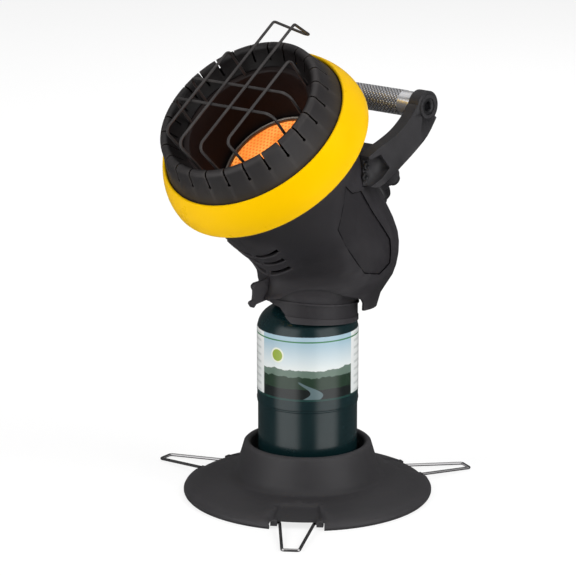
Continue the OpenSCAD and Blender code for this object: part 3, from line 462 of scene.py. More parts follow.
class KnurlGroup(EffectGroup):
    """Diamond knurling round a bar along X. Place: bottle frame."""

    name = "knurl"
    outputs = (GroupSocket("Height", "Float"), GroupSocket("Inside", "Float"))
    centre = (75.5, 382.5)
    radius = 12.4
    pitch = 1.9
    reach = 56.8

    def fill(self) -> None:
        """Cross two sets of slanted grooves, and leave both ends plain."""
        x, y, z = self.split(self.entry["Place"])
        turn = self.math("ARCTAN2", self.math("SUBTRACT", z, self.centre[1]),
                         self.math("SUBTRACT", y, self.centre[0]))
        around = self.math("MULTIPLY", turn, self.radius)
        grooves = [self.math("PINGPONG", self.math("DIVIDE", self.math(
            side, x, around), self.pitch), 1.0) for side in ("ADD", "SUBTRACT")]
        inside = self.ramp(self.math("ABSOLUTE", x), self.reach, self.reach - 0.6)
        height = self.math("MINIMUM", *grooves)
        self.link(self.math("MULTIPLY", height, inside), self.exit["Height"])
        self.link(inside, self.exit["Inside"])


@dataclass(frozen=True)
class Finish:
    """A plain finish of one colour with grain, patches and worn edges."""

    name: str
    slot: str
    colour: tuple[int, int, int]
    edge_colour: tuple[int, int, int]
    roughness: float
    metallic: float = 0.0
    edge_amount: float = 0.5
    patch: float = 0.08
    roughness_spread: float = 0.2
    grain: float = 0.2
    grain_scale: float = 2600.0
    wave: float = 0.1
    coat: float = 0.0
    shine: tuple[int, int, int] = (255, 255, 255)
    specular: float = 0.5


# Painted shade inside the cone's folded lip: radii in millimetres where it starts and where it
# is full, and how much it darkens.
LIP_SHADE_EDGE = (79.0, 75.0)
LIP_SHADE_SHARE = 0.85
GLOW_SEEN = 0.8
GLOW_CAST = 0.15
KNURL_DEPTH = 0.0006


def printed(shader: Shader) -> None:
    """Put the landscape on a film's shader."""
    art = LabelGroup().place_in(shader, shader.place(IN_BOTTLE))
    shader.link(art.outputs["Colour"], shader.surface.inputs["Base Color"])


def lip_shaded(shader: Shader) -> None:
    """Paint shade on the inner side of a cone's folded lip: its colour turns near black inwards
    from there.
    """
    x, y, _ = shader.split(shader.place(IN_HEAD))
    away = shader.math("SQRT", shader.math("MULTIPLY_ADD", x, x, shader.math("MULTIPLY", y, y)))
    # Painted shade: the colour darkens towards near black inwards of the lip's crest.
    lip_shade = shader.math("MULTIPLY", shader.ramp(away, *LIP_SHADE_EDGE), LIP_SHADE_SHARE)
    plain = shader.surface.inputs["Base Color"].links[0].from_socket
    shader.link(shader.mix(lip_shade, plain, linear(12, 10, 11)),
                shader.surface.inputs["Base Color"])


def glowing(shader: Shader) -> None:
    """Let a plaque glow between its holes."""
    plaque = TileGroup().place_in(shader, shader.place(IN_HEAD))
    heat = shader.ramp(plaque.outputs["Heat"], 0.3, 0.7)
    colour = shader.mix(heat, linear(250, 134, 34), linear(255, 178, 84))
    dark = shader.mix(plaque.outputs["Hole"], colour, linear(214, 96, 16))
    shader.link(dark, shader.surface.inputs["Emission Color"])
    seen = shader.node("LightPath").outputs["Is Camera Ray"]
    shader.link(shader.math("MULTIPLY_ADD", seen, GLOW_SEEN, GLOW_CAST),
                shader.surface.inputs["Emission Strength"])


def knurled(shader: Shader) -> None:
    """Knurl a bar's shader between its plain ends, with the grooves darkened as painted shade.
    """
    knurl = KnurlGroup().place_in(shader, shader.place(IN_BOTTLE))
    shader.link(shader.bump(knurl.outputs["Height"], 1.0, KNURL_DEPTH),
                shader.surface.inputs["Normal"])
    # Painted shade: the grooves get a darker grey than the chrome between them.
    groove_shade = shader.math("MULTIPLY", knurl.outputs["Inside"],
                          shader.ramp(knurl.outputs["Height"], 0.45, 0.1))
    shader.link(shader.mix(groove_shade, linear(226, 226, 229), linear(120, 120, 124)),
                shader.surface.inputs["Base Color"])


class Palette:
    """All materials of the heater, made once and handed out by name."""

    def __init__(self) -> None:
        """Build the shared effects."""
        self.grain = GrainGroup()
        self.wear = WearGroup()
        self.made: dict[str, bpy.types.Material] = {}
        self.slots: dict[str, str] = {}

    def shader(self, finish: Finish) -> Shader:
        """Build the common part of a finish.

        Args:
            finish: Its colours and numbers.

        Returns:
            A shader whose colour, roughness and normal are linked.
        """
        shader = Shader(finish.name)
        place = shader.place()
        wear = self.wear.place_in(
            shader, place, Colour=linear(*finish.colour),
            Edge_Colour=linear(*finish.edge_colour), Edge_Amount=finish.edge_amount,
            Patch=finish.patch, Roughness=finish.roughness,
            Roughness_Spread=finish.roughness_spread)
        grain = self.grain.place_in(shader, place, Scale=finish.grain_scale,
                                    Strength=finish.grain, Wave=finish.wave)
        shader.link(wear.outputs["Colour"], shader.surface.inputs["Base Color"])
        shader.link(wear.outputs["Roughness"], shader.surface.inputs["Roughness"])
        shader.link(grain.outputs["Normal"], shader.surface.inputs["Normal"])
        shader.set(Metallic=finish.metallic, Coat_Weight=finish.coat,
                   Coat_Roughness=0.08, Specular_IOR_Level=finish.specular,
                   Specular_Tint=linear(*finish.shine))
        return shader

    def add(self, finish: Finish, extend: Optional[Callable[[Shader], None]] = None) -> None:
        """Make a finish's material.

        Args:
            finish: The finish.
            extend: A function that adds to the shader what only this finish has.
        """
        shader = self.shader(finish)
        if extend:
            extend(shader)
        self.made[finish.name] = shader.material
        self.slots[finish.name] = finish.slot

    def dress(self, thing: bpy.types.Object, name: str) -> None:
        """Give an object one material, by its finish's name."""
        thing.data.materials.clear()
        thing.data.materials.append(self.made[name])


FINISHES = (
    Finish("moulded_charcoal", "base_plastic", (51, 50, 52), (82, 80, 83), 0.44,
           grain=0.35, specular=0.4),
    Finish("housing_charcoal", "housing_plastic", (42, 40, 43), (74, 72, 75), 0.46,
           grain=0.35, specular=0.4),
    Finish("arm_charcoal", "arm_plastic", (44, 43, 45), (76, 75, 77), 0.4,
           grain=0.3, specular=0.42),
    Finish("ring_yellow", "yellow_ring", (255, 200, 0), (255, 214, 20), 0.3,
           edge_amount=0.2, patch=0.02, grain=0.03, wave=0.03, specular=0.5,
           shine=(255, 214, 40)),
    Finish("bowl_paint", "bowl_dark", (30, 24, 24), (52, 44, 42), 0.55, patch=0.2,
           grain=0.2, grain_scale=1600.0, specular=0.3),
    Finish("guard_paint", "guard_steel", (40, 38, 39), (120, 116, 114), 0.38,
           metallic=0.3, grain=0.12, grain_scale=3200.0),
    Finish("leg_chrome", "chrome_wire", (190, 188, 190), (215, 215, 215), 0.18,
           metallic=1.0, grain=0.04, wave=0.08),
    Finish("bar_chrome", "chrome_bar", (205, 205, 208), (230, 230, 230), 0.18,
           metallic=1.0, grain=0.04, wave=0.02),
    Finish("bottle_enamel", "bottle_green", (14, 37, 40), (52, 78, 80), 0.24,
           edge_amount=0.1, patch=0.05, grain=0.02, wave=0.06, coat=0.3),
    # Painted highlight: the vent ribs are a lighter charcoal than the housing, standing for the
    # lit upper edge of each rib.
    Finish("rib_sheen_charcoal", "housing_plastic", (58, 56, 59), (84, 82, 85), 0.4,
           grain=0.1, specular=0.5),
    Finish("deep_shadow", "housing_plastic", (14, 13, 15), (20, 19, 21), 0.9,
           specular=0.05),
    Finish("brass", "brass", (186, 150, 86), (214, 190, 130), 0.3, metallic=1.0),
    Finish("black_steel", "black_steel", (34, 34, 36), (110, 110, 112), 0.38, metallic=0.7),
    Finish("burner_steel", "burner_steel", (160, 150, 140), (190, 184, 176), 0.35,
           metallic=1.0, patch=0.25),
    Finish("hoop_steel", "burner_steel", (176, 168, 158), (200, 192, 182), 0.4,
           metallic=0.3),
    Finish("zinc_cast", "zinc_cast", (164, 164, 167), (190, 190, 192), 0.45, metallic=1.0,
           grain=0.4, grain_scale=1500.0),
    Finish("rubber", "rubber_black", (26, 26, 27), (40, 40, 40), 0.7),
    Finish("copper", "copper_tube", (190, 118, 82), (214, 150, 116), 0.3, metallic=1.0),
    Finish("stem_steel", "stem_steel", (190, 190, 192), (214, 214, 214), 0.25, metallic=1.0),
    Finish("knob_black", "knob_plastic", (28, 27, 29), (60, 60, 62), 0.38),
    Finish("igniter_case", "igniter_grey", (196, 192, 182), (214, 210, 204), 0.5),
    Finish("lead_sleeve", "lead_red", (150, 60, 44), (170, 90, 70), 0.5),
    Finish("fired_ceramic", "ceramic_white", (226, 222, 212), (236, 234, 228), 0.4),
)

SPECIAL_FINISHES = (
    (Finish("label_print", "label_print", (200, 214, 220), (230, 230, 230), 0.24,
            grain=0.03, wave=0.05, coat=0.3), printed),
    (Finish("cone_paint", "cone_black", (44, 42, 43), (92, 86, 82), 0.48,
            grain=0.25, grain_scale=1800.0, specular=0.42), lip_shaded),
    (Finish("burner_glow", "burner_glow", (190, 96, 50), (214, 130, 80), 0.8), glowing),
    (Finish("bar_knurled", "chrome_bar", (210, 210, 213), (230, 230, 230), 0.2,
            metallic=0.6, grain=0.04, wave=0.02), knurled),
)


# ------------------------------------------------------------------------------ mesh tools


def spin_profile(profile: Iterable[Point], steps: int = 192) -> bmesh.types.BMesh:
    """Turn a closed profile round +Z.

    Args:
        profile: Points (radius, height), in order round the section.
        steps: Number of steps in the full turn.

    Returns:
        A closed mesh with its faces outwards.
    """
    mesh = bmesh.new()
    points = [mesh.verts.new((r, 0.0, z)) for r, z in profile]
    edges = [mesh.edges.new((points[i - 1], points[i])) for i in range(len(points))]
    bmesh.ops.spin(mesh, geom=points + edges, cent=(0, 0, 0), axis=(0, 0, 1),
                   angle=math.tau, steps=steps, use_merge=True, use_duplicate=False)
    bmesh.ops.remove_doubles(mesh, verts=mesh.verts, dist=1e-4)
    bmesh.ops.recalc_face_normals(mesh, faces=mesh.faces)
    return mesh


def arc(centre: Point, radius: float, start: float, end: float,
        steps: int = 8) -> list[tuple[float, float]]:
    """Points on a round stretch of a profile, with its angles in degrees."""
    angles = [math.radians(start + (end - start) * i / steps) for i in range(steps + 1)]
    return [(centre[0] + radius * math.cos(a), centre[1] + radius * math.sin(a))
            for a in angles]


def rounded_path(points: Sequence[Point], bends: Sequence[float],
                 steps: int = 8) -> list[Vector]:
    """Round the corners of a path of straight lengths.

    Args:
        points: Its corner points, from end to end.
        bends: Bend radius at each inner point.
        steps: Steps in each bend.

    Returns:
        The points of the smooth path.
    """
    corners = [Vector(p) for p in points]
    path = [corners[0]]
    for before, corner, after, bend in zip(corners, corners[1:], corners[2:], bends):
        back = (before - corner).normalized()
        ahead = (after - corner).normalized()
        half = math.acos(max(-1.0, min(1.0, back.dot(ahead)))) / 2
        reach = bend / math.tan(half)
        centre = corner + (back + ahead).normalized() * (bend / math.sin(half))
        first = (corner + back * reach - centre).normalized()
        last = (corner + ahead * reach - centre).normalized()
        path.extend(centre + first.slerp(last, k / steps) * bend for k in range(steps + 1))
    path.append(corners[-1])
    return path


def wire_mesh(points: Sequence[Point], bends: Sequence[float], radius: float,
              sides: int = 16) -> bmesh.types.BMesh:
    """Sweep a round wire along a bent path.

    Args:
        points: Corner points of the path, in millimetres.
        bends: Bend radii at the inner points.
        radius: Radius of the wire.
        sides: Sides of its section.

    Returns:
        A closed mesh.
    """
    curve = bpy.data.curves.new("wire", "CURVE")
    curve.dimensions = "3D"
    curve.bevel_depth = radius
    curve.bevel_resolution = sides // 4 - 1
    curve.use_fill_caps = True
    path = rounded_path(points, bends)
    spline = curve.splines.new("POLY")
    spline.points.add(len(path) - 1)
    for target, point in zip(spline.points, path):
        target.co = (*point, 1.0)
    holder = bpy.data.objects.new("wire", curve)
    mesh = bmesh.new()
    mesh.from_mesh(bpy.data.meshes.new_from_object(holder))
    bpy.data.objects.remove(holder)
    bpy.data.curves.remove(curve)
    bmesh.ops.remove_doubles(mesh, verts=mesh.verts, dist=1e-4)
    bmesh.ops.recalc_face_normals(mesh, faces=mesh.faces)
    return mesh


def add_rod(mesh: bmesh.types.BMesh, start: Point, end: Point, radius: float,
            sides: int = 24) -> None:
    """Add a closed cylinder between two points to a mesh."""
    axis = Vector(end) - Vector(start)
    place = (Matrix.Translation(Vector(start) + axis / 2)
             @ axis.to_track_quat("Z", "Y").to_matrix().to_4x4())
    bmesh.ops.create_cone(mesh, cap_ends=True, segments=sides, radius1=radius,
                          radius2=radius, depth=axis.length, matrix=place)


def add_block(mesh: bmesh.types.BMesh, low: Point, high: Point, place: Matrix) -> None:
    """Add a closed box between two corners, then moved by a matrix, to a mesh."""
    size = Vector(high) - Vector(low)
    middle = Matrix.Translation((Vector(high) + Vector(low)) / 2)
    bmesh.ops.create_cube(mesh, size=1.0,
                          matrix=place @ middle @ Matrix.Diagonal((*size, 1.0)))


def carved(mesh: bmesh.types.BMesh, cutter: bmesh.types.BMesh) -> bmesh.types.BMesh:
    """Take a cutter's closed volumes out of a closed mesh; both are used up."""
    holders = []
    for content in (mesh, cutter):
        data = bpy.data.meshes.new("carving")
        content.to_mesh(data)
        content.free()
        holders.append(bpy.data.objects.new("carving", data))
        bpy.context.scene.collection.objects.link(holders[-1])
    body, tool = holders
    cut = body.modifiers.new("cut", "BOOLEAN")
    cut.operation, cut.object, cut.solver = "DIFFERENCE", tool, "EXACT"
    cut.use_self = True
    shape = body.evaluated_get(bpy.context.evaluated_depsgraph_get()).to_mesh()
    result = bmesh.new()
    result.from_mesh(shape)
    for holder in holders:
        data = holder.data
        bpy.data.objects.remove(holder)
        bpy.data.meshes.remove(data)
    return result


@dataclass
class Workshop:
    """Turns meshes into dressed pieces that ride on their bodies."""

    palette: Palette

    def piece(self, name: str, mesh: bmesh.types.BMesh, place: Matrix, body: Body,
              finish: str, stands_for: Sequence[str] = (),
              sharp: float = 32.0) -> bpy.types.Object:
        """Make an object from a mesh.

        Args:
            name: Name of the piece.
            mesh: Its mesh, in the frame that place turns into the model's frame.
            place: Matrix from that frame, millimetres included.
            body: The body that it rides on.
            finish: Name of its finish.
            stands_for: CAD nodes that it replaces.
            sharp: Edges that turn by more than this many degrees stay sharp.

        Returns:
            The new object.
        """
        bmesh.ops.transform(mesh, matrix=place, verts=mesh.verts)
        data = bpy.data.meshes.new(name)
        mesh.to_mesh(data)
        mesh.free()
        data.shade_smooth()
        data.set_sharp_from_angle(angle=math.radians(sharp))
        made = bpy.data.objects.new(name, data)
        bpy.context.scene.collection.objects.link(made)
        self.palette.dress(made, finish)
        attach(made, body.value)
        if stands_for:
            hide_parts(*stands_for)
        LOG.info("%s: %d faces on %s", name, len(data.polygons), body.value)
        return made

    def smoothed_node(self, node: str, name: str, body: Body, finish: str,
                      clean: Sequence[bmesh.types.BMesh] = (), sharp: float = 32.0,
                      reach: float = 0.35) -> bpy.types.Object:
        """Copy a CAD node as one merged mesh whose curved walls shade smoothly.

        Args:
            node: Name of the node that the copy stands for.
            name: Name of the piece.
            body: Its body.
            finish: Name of its finish.
            clean: Finely divided surfaces in the model's frame. Where a corner lies on one of
                them, its normal comes from there, so cuts leave no streaks beside them.
            sharp: Edges that turn by more than this many degrees stay sharp.
            reach: How far from a clean surface a corner may lie, in millimetres.

        Returns:
            The new object.
        """
        mesh = bmesh.new()
        mesh.from_mesh(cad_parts[node].data)
        bmesh.ops.remove_doubles(mesh, verts=mesh.verts, dist=2e-6)
        bmesh.ops.dissolve_degenerate(mesh, edges=mesh.edges, dist=1e-6)
        made = self.piece(name, mesh, Matrix.Identity(4), body, finish, (node,), sharp)
        trees = [BVHTree.FromBMesh(surface) for surface in clean]
        if trees:
            self.borrow_normals(made.data, trees, reach * MM, math.radians(sharp))
        for surface in clean:
            surface.free()
        return made

    @staticmethod
    def borrow_normals(data: bpy.types.Mesh, trees: Sequence[BVHTree], reach: float,
                       turn: float) -> None:
        """Set corner normals from clean surfaces where the corners lie on them."""
        normals = [corner.vector.copy() for corner in data.corner_normals]
        for face in data.polygons:
            for loop in face.loop_indices:
                point = data.vertices[data.loops[loop].vertex_index].co
                for tree in trees:
                    _, normal, _, distance = tree.find_nearest(point)
                    if distance is None or distance > reach:
                        continue
                    if normal.dot(face.normal) < 0:
                        normal = -normal
                    if normal.angle(face.normal, math.pi) < turn:
                        normals[loop] = normal
                        break
        data.normals_split_custom_set(normals)


# ------------------------------------------------------------------------------ base


@dataclass
class Base:
    """Moulded base with its collar, and the three wire legs."""

    leg_turns: tuple[float, float, float] = (37.3, 157.3, -82.7)
    leg_reach: float = 178.5
    tip_half: float = 8.0
    root_half: float = 16.5
    hinge_r: float = 112.0
    hinge_z: float = 3.4
    hinge_pin: float = 7.0
    wire_r: float = 1.5
    bend: float = 2.4

    def build(self, shop: Workshop) -> None:
        """Build the skirt and the legs."""
        shop.smoothed_node("base_skirt", "base_moulding", Body.BASE, "moulded_charcoal")
        bodies = (Body.LEG_FRONT, Body.LEG_RIGHT, Body.LEG_LEFT)
        for number, (turn, body) in enumerate(zip(self.leg_turns, bodies), 1):
            self.leg(shop, f"leg_wire_{number}", turn, body, f"wire_leg_{number}")

    def leg(self, shop: Workshop, name: str, turn: float, body: Body, node: str) -> None:
        """Bend one leg: a trapezoid loop whose ends hook outwards into the base."""
        tip = (self.tip_half, -self.leg_reach + self.wire_r, self.wire_r + 0.03 - FOOT_H)
        root = (self.root_half, -self.hinge_r, self.hinge_z)
        end = (self.root_half + self.hinge_pin, root[1], root[2])
        right = [end, root, tip]
        left = [(-x, y, z) for x, y, z in reversed(right)]
        mesh = wire_mesh(right + left, [self.bend] * 4, self.wire_r)
        shop.piece(name, mesh, IN_BOTTLE @ Matrix.Rotation(math.radians(turn), 4, "Z"), body,
                   "leg_chrome", (node,))


# ------------------------------------------------------------------------------ bottle


@dataclass
class Bottle:
    """One pound gas bottle: two drawn shells, foot ring, label and valve."""

    radius: float = 49.2
    shoulder_z: float = 164.5
    knuckle_r: float = 22.0
    seam_z: float = 95.0
    floor_z: float = 10.5
    wall: float = 1.2
    cup_step: float = 0.7
    foot_r: float = 12.0
    bead_r: float = 1.25
    lap: float = 0.35
    boss_r: float = 10.65
    label_low: float = 103.5
    label_bend: float = 7.0
    label_t: float = 0.25

    @property
    def lower_r(self) -> float:
        """Radius of the lower cup."""
        return self.radius - self.cup_step

    def build(self, shop: Workshop) -> None:
        """Build the shells, the foot and the label, and dress the fittings."""
        shop.piece("bottle_lower_cup", self.lower_cup(), IN_BOTTLE, Body.BOTTLE,
                   "bottle_enamel", ("bottle_lower_shell",))
        shop.piece("bottle_upper_dome", self.upper_dome(), IN_BOTTLE, Body.BOTTLE,
                   "bottle_enamel", ("bottle_upper_shell",))
        shop.piece("bottle_print", self.label(), IN_BOTTLE, Body.BOTTLE,
                   "label_print", ("bottle_label",))
        shop.smoothed_node("bottle_foot_ring", "bottle_foot_ring_piece", Body.BOTTLE,
                           "bottle_enamel")
        for node in ("bottle_boss", "bottle_valve_core", "bottle_relief_valve"):
            shop.smoothed_node(node, node + "_piece", Body.BOTTLE, "brass")

    def lower_cup(self) -> bmesh.types.BMesh:
        """Drawn cup with a domed foot, rolled in at the seam."""
        outer = self.lower_r
        low = self.floor_z
        return spin_profile(
            [(0.01, low + 7), (30, low + 5)]
            + arc((outer - self.foot_r, low + 16), self.foot_r, -90, 0, 10)
            + [(outer, self.seam_z - 4.6)]
            + arc((outer - 0.6, self.seam_z - 2.7), self.bead_r, -60, 60, 8)
            + [(outer, self.seam_z - 0.9), (outer, self.seam_z),
               (outer - self.wall, self.seam_z)]
            + arc((outer - self.foot_r, low + 16), self.foot_r - self.wall, 0, -90, 10)
            + [(30, low + 5 + self.wall), (0.01, low + 7 + self.wall)])

    def upper_dome(self) -> bmesh.types.BMesh:
        """Upper shell with its rolled lower edge, shoulder knuckle and shallow crown."""
        lap = self.radius + self.lap
        inner = self.radius - self.knuckle_r
        crown = self.shoulder_z + self.knuckle_r
        return spin_profile(
            [(self.lower_r + 0.02, self.seam_z - 0.6), (lap - 0.2, self.seam_z - 0.6),
             (lap, self.seam_z - 0.4), (lap, self.seam_z + 1.4)]
            + [(self.radius + 0.2, self.seam_z + 1.9), (self.radius, self.seam_z + 2.6)]
            + arc((inner, self.shoulder_z), self.knuckle_r, 0, 90, 24)
            + [(22, crown + 2.2), (17, crown + 5.5), (self.boss_r, crown + 7),
               (self.boss_r, crown + 7 - self.wall), (17, crown + 5.5 - self.wall)]
            + arc((inner, self.shoulder_z), self.knuckle_r - self.wall, 90, 0, 12)
            + [(self.radius - self.wall, self.seam_z + 2.4),
               (self.lower_r + 0.02, self.seam_z + 1.6)])

    def label(self) -> bmesh.types.BMesh:
        """Printed film round the upper shell; its top edge bends in with the shoulder."""
        centre = (self.radius - self.knuckle_r, self.shoulder_z)
        return spin_profile(
            [(self.radius + 0.01, self.label_low), (self.radius + self.label_t, self.label_low)]
            + arc(centre, self.knuckle_r + self.label_t, 0, self.label_bend, 3)
            + arc(centre, self.knuckle_r + 0.01, self.label_bend, 0, 3), 256)


# ------------------------------------------------------------------------------ housing


SKIN_POINTS = 192


@dataclass(frozen=True)
class Section:
    """One slanted section of the housing, by its front and back points and half width."""

    front_y: float
    front_z: float
    back_y: float
    back_z: float
    half: float
    taper: float

    def point(self, angle: float) -> Vector:
        """Point at an angle in radians, counted from the front towards +X."""
        cosine = math.cos(angle)
        narrow = 1 - self.taper * max(0.0, cosine) ** 2
        return Vector((self.half * math.sin(angle) * narrow,
                       (self.front_y + self.back_y) / 2
                       - (self.back_y - self.front_y) / 2 * cosine,
                       (self.front_z + self.back_z) / 2
                       - (self.back_z - self.front_z) / 2 * cosine))

    def values(self) -> tuple[float, ...]:
        """All six numbers."""
        return (self.front_y, self.front_z, self.back_y, self.back_z, self.half, self.taper)


def in_head(y: float, s: float) -> tuple[float, float]:
    """Bottle-frame y and z of a point of the head's middle plane."""
    return (-HEAD_FORWARD + y * math.cos(HEAD_LEAN) - s * math.sin(HEAD_LEAN),
            HEAD_HEIGHT + y * math.sin(HEAD_LEAN) + s * math.cos(HEAD_LEAN))


@dataclass
class Housing:
    """Two moulded halves that hold the burner head and close round the bottle's neck."""

    rows: tuple[Section, ...] = (
        Section(*in_head(-89, -32), *in_head(89, -32), 89, 0),
        Section(*in_head(-84, -60), *in_head(79, -60), 84, 0),
        Section(*in_head(-80, -93), *in_head(70, -93), 79, 0.02),
        Section(-58.6, 235, 57.5, 317.4, 74.5, 0.11),
        Section(-55, 227, 79.9, 287, 73.3, 0.26),
        Section(-54, 221, 95.3, 262, 72.1, 0.41),
        Section(-55.2, 215.5, 100.3, 238, 69.2, 0.5),
        Section(-57.9, 210.5, 96.4, 215, 64.4, 0.55),
        Section(-62.3, 205.5, 83.2, 193, 56.2, 0.5),
        Section(-65.3, 200, 76.5, 169, 53.5, 0.4))

    funnel: tuple[Section, ...] = (
        Section(-53, 220.5, 89.6, 205, 62.6, 0.5),
        Section(-50.4, 212, 66, 199, 55, 0.25),
        Section(-48.6, 205.5, 50.4, 194.5, 49.6, 0),
        Section(-48.5, 201, 48.5, 189.6, 48.5, 0))
    panel: tuple[tuple[float, float], ...] = (
        (-38.7, 280), (-40, 323), (-27.5, 314), (-11.7, 313), (-4.3, 305),
        (21.3, 278.5), (42, 256), (44, 232), (27, 224), (6.5, 228.6), (0, 236))
    line_r: float = 0.55
    line_depth: float = 0.6
    line_step: float = 4.0
    vent_count: int = 3
    vent_pitch: float = 14.2
    vent_curve: float = 62.0
    vent_offset: float = 93.0
    vent_h: float = 3.4
    vent_reach: float = 33.0
    vent_shrink: float = 3.0
    vent_plane: float = 60.0
    rib_r: float = 0.9
    rib_steps: int = 12
    panel_depth: float = 1.1
    wall: float = 2.6
    ray_start: float = 200.0
    rib_ray_start: float = 120.0
    row_steps: int = 8
    collar_radii: tuple[float, ...] = (48.6, 49.3, 49.9, 48.2)
    collar_low: float = 165.0
    collar_high: float = 206.0

    def clean_skin(self, inset: float = 0.0) -> bmesh.types.BMesh:
        """Finely divided outer skin, drawn in by an inset in millimetres."""
        return self.lofted([self.inset(row, inset) for row in self.smooth_rows(
            self.rows, self.row_steps)])

    def clean_funnel(self) -> bmesh.types.BMesh:
        """Finely divided funnel between the wall and the neck collar."""
        return self.lofted(self.smooth_rows(self.funnel, self.row_steps))

    def clean_collar(self, radius: float) -> bmesh.types.BMesh:
        """Upright round wall of the neck collar."""
        mesh = bmesh.new()
        bmesh.ops.create_cone(mesh, segments=SKIN_POINTS, radius1=radius, radius2=radius,
                              depth=self.collar_high - self.collar_low)
        bmesh.ops.translate(mesh, verts=mesh.verts,
                            vec=(0, 0, (self.collar_high + self.collar_low) / 2))
        bmesh.ops.transform(mesh, matrix=IN_BOTTLE, verts=mesh.verts)
        mesh.normal_update()
        return mesh

    @staticmethod
    def lofted(sections: Sequence[Section], points: int = SKIN_POINTS) -> bmesh.types.BMesh:
        """Open skin through sections, in the model's frame.

        Args:
            sections: The sections, from end to end.
            points: Points round a section.

        Returns:
            The open skin.
        """
        mesh = bmesh.new()
        rings = []
        for section in sections:
            rings.append([mesh.verts.new(section.point(math.tau * i / points))
                          for i in range(points)])
        for lower, upper in zip(rings, rings[1:]):
            for i in range(points):
                mesh.faces.new((lower[i - 1], lower[i], upper[i], upper[i - 1]))
        bmesh.ops.transform(mesh, matrix=IN_BOTTLE, verts=mesh.verts)
        mesh.normal_update()
        return mesh

    @staticmethod
    def smooth_rows(rows: Sequence[Section], steps: int) -> list[Section]:
        """Sections on the smooth curve through the driving ones."""
        made = []
        last = len(rows) - 1
        for index in range(last):
            a, b, c, d = (rows[max(0, min(last, index + k))].values()
                          for k in (-1, 0, 1, 2))
            for step in range(steps):
                u = step / steps
                made.append(Section(*(
                    0.5 * (2 * q + (r - p) * u + (2 * p - 5 * q + 4 * r - s) * u * u
                           + (3 * q - p - 3 * r + s) * u ** 3)
                    for p, q, r, s in zip(a, b, c, d))))
        made.append(rows[last])
        return made

    @staticmethod
    def inset(row: Section, depth: float) -> Section:
        """The section drawn in by a depth."""
        span = Vector((row.back_y - row.front_y, row.back_z - row.front_z)).normalized()
        return Section(row.front_y + span.x * depth, row.front_z + span.y * depth,
                       row.back_y - span.x * depth, row.back_z - span.y * depth,
                       row.half - depth, row.taper)

    def build(self, shop: Workshop) -> None:
        """Build both halves and dress the screws."""
        for side in ("left", "right"):
            clean = (self.clean_skin(), self.clean_skin(self.panel_depth),
                     self.clean_skin(self.wall),
                     self.clean_funnel(), *(self.clean_collar(r) for r in self.collar_radii))
            shop.smoothed_node(f"housing_{side}", f"housing_shell_{side}", Body.HEAD,
                               "housing_charcoal", clean)
        self.trim(shop)
        shop.smoothed_node("housing_screws", "housing_screw_set", Body.HEAD, "black_steel")

    def trim(self, shop: Workshop) -> None:
        """Lay a rib under each vent, lighter than the housing as a painted highlight, and a dark
        line of painted shade round each side panel.
        """
        skin = self.clean_skin()
        tree = BVHTree.FromBMesh(skin)
        for side, name in ((-1, "left"), (1, "right")):
            ribs = bmesh.new()
            for number in range(self.vent_count):
                self.lay(ribs, self.vent_rib(tree, number, side), self.rib_r)
            shop.piece(f"vent_ribs_{name}", ribs, Matrix.Identity(4), Body.HEAD,
                       "rib_sheen_charcoal")
            # Painted shade: a dark wire sunk in the step round the side panel stands for the
            # shade there.
            line = bmesh.new()
            self.lay(line, self.panel_line(tree, side), self.line_r)
            shop.piece(f"panel_step_shade_{name}", line, Matrix.Identity(4), Body.HEAD,
                       "deep_shadow")
        skin.free()

    @staticmethod
    def lay(mesh: bmesh.types.BMesh, path: Sequence[Vector], radius: float) -> None:
        """Add a round rib along a path, which is in metres, to a mesh."""
        tight = [0.05] * len(path)
        strip = wire_mesh([point / MM for point in path], tight, radius, 8)
        bmesh.ops.scale(strip, vec=(MM, MM, MM), verts=strip.verts)
        data = bpy.data.meshes.new("strip")
        strip.to_mesh(data)
        strip.free()
        mesh.from_mesh(data)
        bpy.data.meshes.remove(data)

    def vent_rib(self, tree: BVHTree, number: int, side: int) -> list[Vector]:
        """Path of the rib under one vent, on the skin, in metres."""
        place = (IN_HEAD @ Matrix.Translation((0, -self.vent_plane, 0)) @ Matrix.Rotation(
            math.radians(90), 4, "X"))
        inward = (place.to_3x3() @ Vector((0, 0, -1))).normalized()
        lift = self.vent_curve - self.vent_offset - self.vent_pitch * number
        low = self.vent_curve + self.vent_h / 2 + self.rib_r
        path = []
        for step in range(self.rib_steps + 1):
            x = 1.0 + (self.vent_reach - self.vent_shrink * number) * step / self.rib_steps
            start = place @ Vector((side * x, lift - math.sqrt(low * low - x * x),
                                    self.rib_ray_start))
            hit = tree.ray_cast(start, inward)[0]
            if hit:
                path.append(hit)
        return path

    def panel_line(self, tree: BVHTree, side: int) -> list[Vector]:
        """Closed path along the step round a side panel, just under the skin, in metres, for the
        dark wire of painted shade.
        """
        path = []
        corners = self.panel + self.panel[:1]
        for (y0, z0), (y1, z1) in zip(corners, corners[1:]):
            steps = max(2, round(math.dist((y0, z0), (y1, z1)) / self.line_step))
            for step in range(steps):
                part = step / steps
                start = IN_BOTTLE @ Vector((side * self.ray_start, y0 + (y1 - y0) * part,
                                            z0 + (z1 - z0) * part))
                hit = tree.ray_cast(start, Vector((-side, 0, 0)))[0]
                if hit:
                    path.append(hit - Vector((side, 0, 0)) * self.line_depth * MM)
        return path + path[:1]


# ------------------------------------------------------------------------------ burner head


